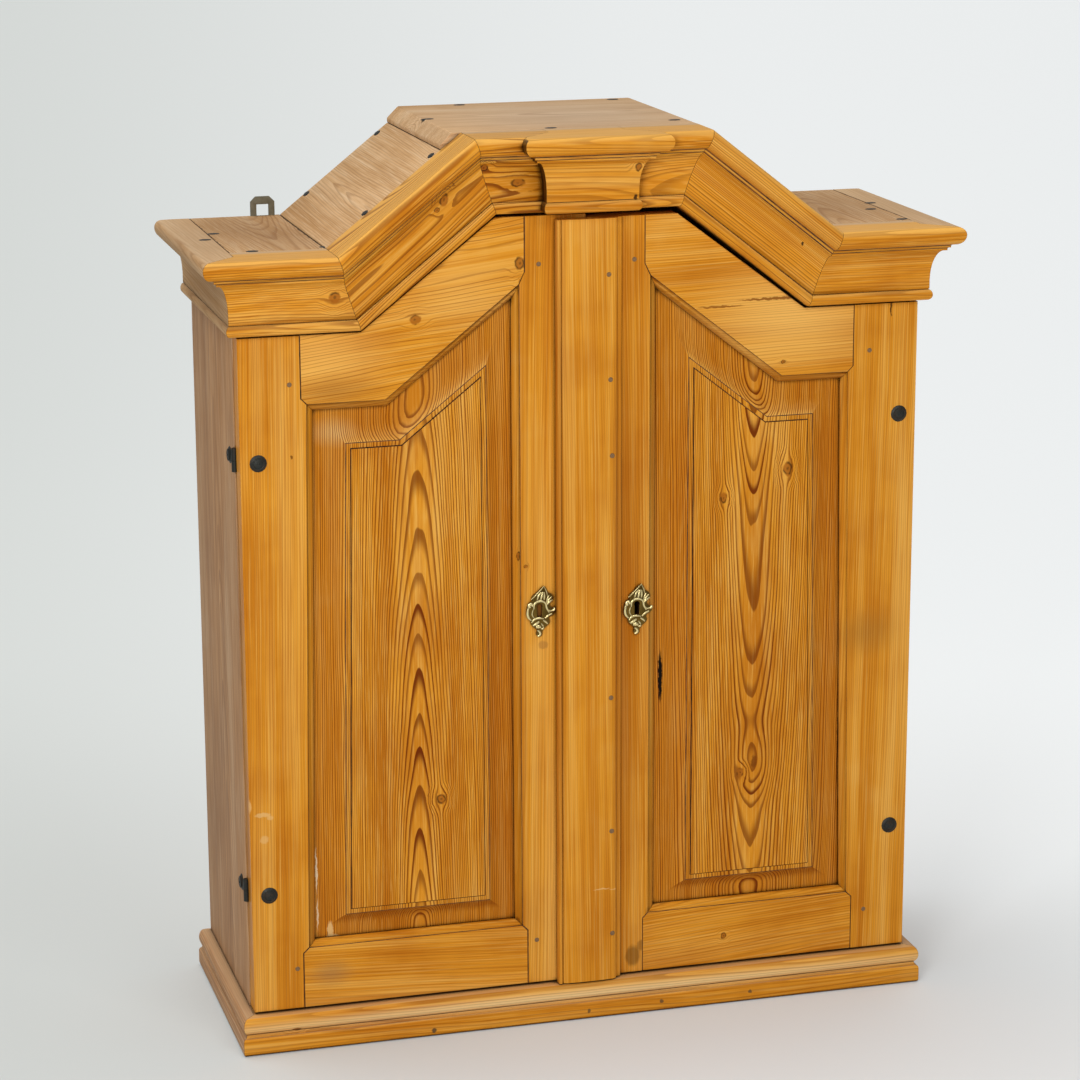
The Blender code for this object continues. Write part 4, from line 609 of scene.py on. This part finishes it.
# Plain boards, their arrises worn round
BOARD_ARRISES = {"left_side": 0.0012, "right_side": 0.0012, "bottom_board": 0.001, "lower_shelf": 0.0015,
                 "upper_shelf": 0.0015, "frieze_board": 0.0008}
BOARD_LENGTH = 0.06
for node, radius in BOARD_ARRISES.items():
    board = welded(node)
    ease(board, radius, longer_than(BOARD_LENGTH))
    show_board(node, board)

# Roof boards; the crown board's left end is chamfered
ROOF_ARRIS = 0.0010
CROWN_CHAMFER = 0.013
for node in ("left_shoulder_roof_board", "right_shoulder_roof_board", "left_slope_roof_board",
             "right_slope_roof_board", "crown_roof_board"):
    board = welded(node)
    if node == "crown_roof_board":
        low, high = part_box(node)
        ease(board, CROWN_CHAMFER, lambda edge: all(v.co.x < low[0] + 0.0005 and v.co.z > high[2] - 0.0005
                                                    for v in edge.verts), 1)
    ease(board, ROOF_ARRIS, longer_than(BOARD_LENGTH))
    show_board(node, board)

# Back: three upright boards with open joints
BACK_JOINTS = (-0.128, 0.121)
BACK_JOINT_GAP = 0.0012
BACK_ARRIS = 0.0008
BACK_BOARD_LENGTH = 0.2
boards = bmesh.new()
for low, high in ((None, BACK_JOINTS[0]), BACK_JOINTS, (BACK_JOINTS[1], None)):
    board = welded("back_panel")
    for limit, way in ((low, -1), (high, 1)):
        if limit is None:
            continue
        bmesh.ops.bisect_plane(board, geom=board.verts[:] + board.edges[:] + board.faces[:],
                               plane_co=(limit - way * BACK_JOINT_GAP / 2, 0, 0), plane_no=(way, 0, 0),
                               clear_outer=True)
        bmesh.ops.holes_fill(board, edges=[edge for edge in board.edges if edge.is_boundary])
    take_in(boards, to_mesh(board, "back_board"))
bmesh.ops.recalc_face_normals(boards, faces=boards.faces)
ease(boards, BACK_ARRIS, longer_than(BACK_BOARD_LENGTH))
show_board("back_panel", boards)

# Mouldings: the share of a facet that is rounded, in percent, and the width of the grime and painted shade in
# a quirk
ROUNDED_SHARE = 46
QUIRK_GRIME_AND_SHADE = 0.0013


def moulding(node, runs):
    """A moulding rounded along its runs; its quirks are lined dark, as wax and dust and as painted shade,
    and its mitres stay sharp.
    """
    bm = welded(node)

    def runs_along(edge):
        along = (edge.verts[1].co - edge.verts[0].co).normalized()
        return any(abs(along.dot(run)) > 0.999 for run in runs)

    quirks = [edge for edge in bm.edges if runs_along(edge) and edge.calc_face_angle_signed(0) < -radians(40)]
    for face in bevel(bm, quirks, QUIRK_GRIME_AND_SHADE):
        face.material_index = GRIMED_OR_SHADED
    round_edges = [edge for edge in bm.edges
                   if runs_along(edge) and radians(3) < edge.calc_face_angle(0) < radians(60)
                   and not any(face.material_index for face in edge.link_faces)]
    bevel(bm, round_edges, ROUNDED_SHARE, 3, "PERCENT")
    show_board_with_grime_and_shade(node, bm, sharp=40)


for node, runs in (("cornice_left_shoulder", [ALONG]), ("cornice_right_shoulder", [ALONG]),
                   ("cornice_left_slope", [LEFT_SLOPE]), ("cornice_right_slope", [RIGHT_SLOPE]),
                   ("cornice_left_crown", [ALONG]), ("cornice_right_crown", [ALONG]),
                   ("cornice_crown_block", [ALONG, BACK]), ("cornice_left_return", [BACK]),
                   ("cornice_right_return", [BACK]), ("plinth_front", [ALONG]), ("plinth_left", [BACK]),
                   ("plinth_right", [BACK]), ("cover_strip", [UP])):
    moulding(node, runs)

# Doors: stiles and rails, their joints full of old grime, and panels with a scratched line round the field,
# its grime partly painted shade, and a painted shade line on the fillet's edge
JOINT_GRIME = 0.0006
GRIMY_HALF_WIDTH = 0.385
GRIMY_ABOVE = 0.05
SCRATCH_DEPTH = 0.0022
SCRATCH_WIDTH = 0.0008
SCRATCH_WALL = 0.0003
FILLET_DROP = 0.0012
FILLET_SHADE_LINE = 0.0005
for door in ("left_door", "right_door"):
    for word in ("outer_stile", "inner_stile", "top_rail", "bottom_rail"):
        node = f"{door}_{word}"
        board = welded(node)
        front = [edge for edge in board.edges
                 if is_sharp(edge) and all(abs(v.co.y - DOOR_FACE) < 0.0001 for v in edge.verts)]
        for face in bevel(board, front, JOINT_GRIME):
            middle = face.calc_center_median()
            top_edge = face.normal.z > 0.3 and word != "bottom_rail"
            if abs(middle.x) < GRIMY_HALF_WIDTH and middle.z > GRIMY_ABOVE and not top_edge:
                face.material_index = GRIMED_OR_SHADED
        show_board_with_grime_and_shade(node, board)

    node = f"{door}_panel"
    panel = welded(node)
    field = min((face for face in panel.faces if face.normal.y < -0.99),
                key=lambda face: face.calc_center_median().y)
    bmesh.ops.translate(panel, verts=field.verts, vec=(0, SCRATCH_DEPTH, 0))
    grimed_or_shaded = []
    for thickness, rise in ((SCRATCH_WIDTH, 0), (SCRATCH_WALL, SCRATCH_DEPTH)):
        grimed_or_shaded += bmesh.ops.inset_region(panel, faces=[field], thickness=thickness, depth=rise,
                                         use_even_offset=True)["faces"]
    # A dark line of painted shade where the fillet meets the hollow
    fillet = field.calc_center_median().y + FILLET_DROP
    rim = [edge for edge in panel.edges if all(abs(v.co.y - fillet) < 0.0001 for v in edge.verts)
           and any(-0.99 < face.normal.y < -0.2 for face in edge.link_faces)]
    grimed_or_shaded += bevel(panel, rim, FILLET_SHADE_LINE)
    for face in grimed_or_shaded:
        face.material_index = GRIMED_OR_SHADED
    # The hollow is smooth along each side; its mitres and fillet are crisp
    for edge in panel.edges:
        level = abs(edge.verts[0].co.y - edge.verts[1].co.y) < 0.00001
        edge.smooth = level and edge.calc_face_angle(pi) < radians(24)
    show_board_with_grime_and_shade(node, panel, sharp=None)

# Ironwork: hinges, lock, bolts and loops with their edges filed off, and rivets with a ring and pip stamped
# on their heads
IRON_ARRIS = 0.0004
IRON_EDGE = 0.004
RIVET_RING = 0.0059
RIVET_RING_DROP = 0.0011
RIVET_RING_THICK = 0.0009
RIVET_PIP = 0.0014


def rivet_stamp(crown, axis):
    """The ring and the pip that the smith's die left on a rivet's head."""
    bm = bmesh.new()
    side_on = Matrix.Translation((RIVET_RING, 0, -RIVET_RING_DROP)) @ Matrix.Rotation(pi / 2, 4, "X")
    bmesh.ops.create_circle(bm, segments=10, radius=RIVET_RING_THICK, matrix=side_on)
    bmesh.ops.spin(bm, geom=bm.verts[:] + bm.edges[:], cent=(0, 0, 0), axis=(0, 0, 1), angle=2 * pi, steps=32,
                   use_merge=True)
    pip = bmesh.ops.create_uvsphere(bm, u_segments=16, v_segments=8, radius=RIVET_PIP)["verts"]
    bmesh.ops.scale(bm, verts=pip, vec=(1, 1, 0.4))
    bmesh.ops.recalc_face_normals(bm, faces=bm.faces)
    turn = axis.to_track_quat("Z", "Y").to_matrix().to_4x4()
    bmesh.ops.transform(bm, matrix=Matrix.Translation(crown) @ turn, verts=bm.verts)
    return to_mesh(bm, "stamp")


for node in BODY_OF:
    if node in PINE or "escutcheon" in node:
        continue
    iron = welded(node)
    if "rivet" in node:
        low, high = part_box(node)
        crown = (low + high) / 2
        axis = FRONT if "door" in node else ALONG * (1 if crown.x > 0 else -1)
        crown += axis * abs((high - low).dot(axis)) / 2
        take_in(iron, rivet_stamp(crown, axis))
    else:
        ease(iron, IRON_ARRIS, longer_than(IRON_EDGE))
    material = GREY_IRON if "loop" in node else BLACK_IRON
    show(iron, f"fine_{node}", BODY_OF[node], "black_iron", material, [node])

# Escutcheons: a cast cartouche as ridges over a plate, each a thickness and places (x, z) about its middle,
# in millimetres
RIDGES = (
    (0.9, (-11.6, 15), (-4, 22), (3.4, 29.4)),
    (0.9, (3.4, 29.4), (6.3, 23), (7.4, 17.5)),
    (1.3, (-4.5, 14.5), (-3, 19), (0.5, 23)),
    (1.5, (-0.5, 14), (0.5, 18), (2, 23)),
    (1.3, (3.4, 14), (3.8, 18), (3.6, 23)),
    (1.2, (6.2, 9.5), (7, 14), (9, 18.8)),
    (1.2, (6.4, 9), (9, 13.5), (12.2, 17)),
    (1.3, (6.6, 8), (9.5, 11), (13.2, 13.3)),
    (1.3, (-8.5, 4), (-7.5, 10), (-1.6, 12.6), (4.5, 10.5), (6.6, 4), (9.2, -1)),
    (1.9, (-9.8, 7.5), (-11.8, 10), (-14, 8), (-12.6, 6)),
    (1.5, (-14.6, 6.5), (-15.8, 0), (-14.8, -5), (-11.5, -9)),
    (1.0, (-9, 4), (-10.5, -2), (-7, -8)),
    (1.2, (7, 3.5), (10, 0.8), (14.8, 1.6)),
    (1.6, (13, 0.6), (15.2, 1.8), (15.6, 4)),
    (1.3, (4.6, -7.6), (8, -4.5), (12.4, -2.8)),
    (1.3, (-11, -11.6), (-8, -8), (-1.4, -7), (3, -8)),
    (1.7, (-9.6, -15), (-6, -13.4), (-2.4, -10.8)),
    (1.4, (2.2, -9.6), (5, -11.5), (7.6, -14)),
    (2.4, (-6.4, -16.8), (-3.4, -16.6), (-0.6, -17.4)),
    (1.2, (0, -13), (1.8, -15.6), (2.6, -17)),
    (1.3, (-0.5, -19), (1.6, -19.4), (3, -18)),
    (1.5, (-4.6, -20.6), (-1.8, -23), (-1.6, -26), (-4, -28)),
)
RELIEF = 0.75
RIDGE_END = 0.7
PLATE_ARRIS = 0.0006


def cast_ridges(middle):
    """Tapered round ridges through their places, flattened to a low relief on a plate's face."""
    curve = bpy.data.curves.new("ridges", "CURVE")
    curve.dimensions = "3D"
    curve.bevel_depth = 1
    curve.bevel_resolution = 3
    curve.resolution_u = 6
    curve.use_fill_caps = True
    for thick, *places in RIDGES:
        spline = curve.splines.new("BEZIER")
        spline.bezier_points.add(len(places) - 1)
        for i, (point, (x, z)) in enumerate(zip(spline.bezier_points, places)):
            point.co = (x, 0, z)
            point.handle_left_type = "AUTO"
            point.handle_right_type = "AUTO"
            point.radius = thick * (1.0 if 0 < i < len(places) - 1 else RIDGE_END)
    holder = bpy.data.objects.new("ridges", curve)
    scene.collection.objects.link(holder)
    bpy.context.view_layer.update()
    mesh = bpy.data.meshes.new_from_object(holder.evaluated_get(bpy.context.evaluated_depsgraph_get()))
    bpy.data.objects.remove(holder)
    mesh.transform(Matrix.Translation(middle) @ Matrix.Diagonal((0.001, 0.001 * RELIEF, 0.001, 1)))
    return mesh


# Both plates have the right one's form, with its keyhole
plate_low, plate_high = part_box("right_escutcheon")
for node in ("left_escutcheon", "right_escutcheon"):
    plate = welded("right_escutcheon")
    ease(plate, PLATE_ARRIS, lambda edge: all(v.co.y < plate_low.y + 0.0001 for v in edge.verts))
    low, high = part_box(node)
    bmesh.ops.translate(plate, verts=plate.verts, vec=(low + high - plate_low - plate_high) / 2)
    middle = (low + high) / 2
    take_in(plate, cast_ridges(Vector((middle.x, low.y, middle.z))))
    show(plate, f"fine_{node}", BODY_OF[node], "old_brass", OLD_BRASS, [node])


def studs(name, places, radius, height, body, slot, material, sides=14, drawn=1.0):
    """Low heads, each on a place and facing a direction, their feet sunk; drawn is length by width."""
    bm = bmesh.new()
    for place, direction in places:
        turn = direction.to_track_quat("Z", "Y").to_matrix().to_4x4()
        head = bmesh.ops.create_cone(bm, cap_ends=True, segments=sides, radius1=radius, radius2=radius * 0.72,
                                     depth=3 * height)["verts"]
        bmesh.ops.scale(bm, verts=head, vec=(drawn, 1, 1))
        sunk_place = place - direction * height * 0.5
        bmesh.ops.transform(bm, matrix=Matrix.Translation(sunk_place) @ turn, verts=head)
    show(bm, name, body, slot, material, sharp=50)


# Small fasteners: pegs through the door joints, strip pins, roof nails, loop nails. Their depths and the
# heights of the roof are in millimetres, like their places
PEG_RADIUS = 0.0032
PIN_RADIUS = 0.0030
PEG_HEIGHT = 0.0004
PEG_DEPTH = -0.1
PEG_PLACES = {"left_door": ((-333, 762.5), (-339, 93.5), (-54.5, 880), (-60, 98)),
              "right_door": ((54.5, 880), (332, 763), (339, 93.5))}
for door, places in PEG_PLACES.items():
    pegs = [(at(x, PEG_DEPTH, z), FRONT) for x, z in places]
    studs(f"{door}_pegs", pegs, PEG_RADIUS, PEG_HEIGHT, door, "varnished_pine", PEG_WOOD)

PIN_DEPTH = -11.6
PIN_PLACES = ((22, 866.6), (24, 749.5), (26, 663.5), (25, 383.6), (26, 224.8), (27, 100.9))
pins = [(at(x, PIN_DEPTH, z), FRONT) for x, z in PIN_PLACES]
studs("cover_strip_pins", pins, PIN_RADIUS, PEG_HEIGHT, "right_door", "varnished_pine", PEG_WOOD)

NAIL_RADIUS = 0.0056
LOOP_NAIL_RADIUS = 0.0035
NAIL_HEIGHT = 0.0005
SHOULDER_TOP = 904
CROWN_TOP = 1023
SHOULDER_NAILS = ((-383, 160), (-399, 121), (-364, 30), (-283, 36), (-270, 262),
                  (300, 262), (393, 163), (376, 118), (382, 37), (290, 40))
CROWN_NAILS = ((-74, 268), (-31, 33), (110, 267), (119, 60), (-140, 150))
# Along each slope from its foot, and the depth
SLOPE_NAILS = ((68, 272), (175, 272), (87, 32), (182, 34))
# How far the roof's top lies above the gable's lower line, square to it
ROOF_ABOVE_GABLE = 0.086
SLOPE_UP = Vector((-sin(SLOPE), 0, cos(SLOPE)))
SLOPE_FOOT = Vector((-(SHOULDER_BREAK / 1000) - ROOF_ABOVE_GABLE * sin(SLOPE), 0,
                     SHOULDER_HEIGHT / 1000 + ROOF_ABOVE_GABLE * cos(SLOPE)))
nails = [(at(x, depth, SHOULDER_TOP), UP) for x, depth in SHOULDER_NAILS]
nails += [(at(x, depth, CROWN_TOP), UP) for x, depth in CROWN_NAILS]
for along, depth in SLOPE_NAILS:
    place = SLOPE_FOOT + along / 1000 * LEFT_SLOPE
    place.y = DOOR_FACE + depth / 1000
    nails += [(place, SLOPE_UP), (Vector((-place.x, place.y, place.z)), Vector((-SLOPE_UP.x, 0, SLOPE_UP.z)))]
studs("roof_nails", nails, NAIL_RADIUS, NAIL_HEIGHT, "root", "black_iron", BLACK_IRON, sides=7, drawn=1.6)

LOOP_FACE = 280.2
LOOP_MIDDLES = (-305, 292)
LOOP_NAILS = ((-6, 888), (5, 862), (-4, 836))
nails = [(at(middle + x, LOOP_FACE, z), BACK) for middle in LOOP_MIDDLES for x, z in LOOP_NAILS]
studs("loop_nails", nails, LOOP_NAIL_RADIUS, NAIL_HEIGHT, "root", "black_iron", BLACK_IRON)

# Studio: the camera's place, and its turns in radians
EYE = Vector((-0.9961, -3.5026, 1.4689))
DOWN = 0.25
ROLL = 0.0041
YAW = -0.272
AIM = Vector((0, -0.1, 0.6))
FLOOR_RADIUS = 60


def stage_floor():
    """A pale studio floor with painted light: lighter to the right, and for the camera alone it glows, most
    far off.
    """
    material, tree, shader = new_material("studio_floor_painted_light")
    spots = add_node(tree, "TexCoord").outputs["Object"]
    # How far a place lies from the camera's foot, and how far to its right as a share of that
    turned = add_node(tree, "Mapping", {"Vector": spots, "Location": (EYE.x, EYE.y, 0),
                                        "Rotation": (0, 0, YAW)}, vector_type="TEXTURE")
    ahead = add_node(tree, "SeparateXYZ", {0: turned.outputs["Vector"]}).outputs
    sideways = add_node(tree, "Math", {0: ahead["X"], 1: ahead["Y"]}, operation="DIVIDE").outputs[0]
    # Painted light: the floor's colour is lighter to the right
    colour = lay(tree, "#C6C9C6", "#DDDFDF", sideways, -0.22, 0.08)
    tree.links.new(colour, shader.inputs["Base Color"])
    tree.links.new(colour, shader.inputs["Emission Color"])
    seen = add_node(tree, "LightPath").outputs["Is Camera Ray"]
    far = add_node(tree, "MapRange", {0: ahead["Y"], 1: 3.2, 2: 5.0, 3: 0.04, 4: 0.36}, **SOFT).outputs[0]
    glow = add_node(tree, "Math", {0: seen, 1: far}, operation="MULTIPLY").outputs[0]
    tree.links.new(glow, shader.inputs["Emission Strength"])
    shader.inputs["Roughness"].default_value = 0.9
    shader.inputs["Specular IOR Level"].default_value = 0.1
    bm = bmesh.new()
    bmesh.ops.create_circle(bm, cap_ends=True, segments=96, radius=FLOOR_RADIUS)
    mesh = to_mesh(bm, "floor")
    mesh.materials.append(material)
    floor = bpy.data.objects.new("floor", mesh)
    scene.collection.objects.link(floor)


def sun(name, from_place, strength, spread):
    """A far soft lamp that shines from a direction; spread is its width in degrees."""
    light = bpy.data.lights.new(name, "SUN")
    light.energy = strength
    light.angle = radians(spread)
    thing = bpy.data.objects.new(name, light)
    thing.rotation_euler = Vector(from_place).to_track_quat("Z", "Y").to_euler()
    scene.collection.objects.link(thing)


def softbox(name, place, width, height, watts):
    """A soft lamp near the cupboard, turned to its middle."""
    light = bpy.data.lights.new(name, "AREA")
    light.shape = "RECTANGLE"
    light.size = width
    light.size_y = height
    light.energy = watts
    thing = bpy.data.objects.new(name, light)
    thing.location = place
    thing.rotation_euler = (Vector(place) - AIM).to_track_quat("Z", "Y").to_euler()
    scene.collection.objects.link(thing)


stage_floor()
softbox("left_softbox", (-1.35, -2.3, 1.45), 0.8, 1.3, 30)
softbox("upper_softbox", (0.5, -2.3, 2.5), 1.2, 0.8, 16)
sun("top_lamp", (-0.25, 0.25, 1.5), 1.5, 50)
world = bpy.data.worlds.new("studio")
scene.world = world
world.use_nodes = True
sky = world.node_tree.nodes["Background"]
sky.inputs["Color"].default_value = linear("#EEF0F1")
sky.inputs["Strength"].default_value = 0.38

lens = bpy.data.cameras.new("camera")
lens.lens = 109.01
lens.sensor_width = 36
camera = bpy.data.objects.new("camera", lens)
camera.location = EYE
camera.rotation_euler = (pi / 2 - DOWN, ROLL, YAW)
scene.collection.objects.link(camera)
scene.camera = camera
scene.view_settings.view_transform = "Standard"
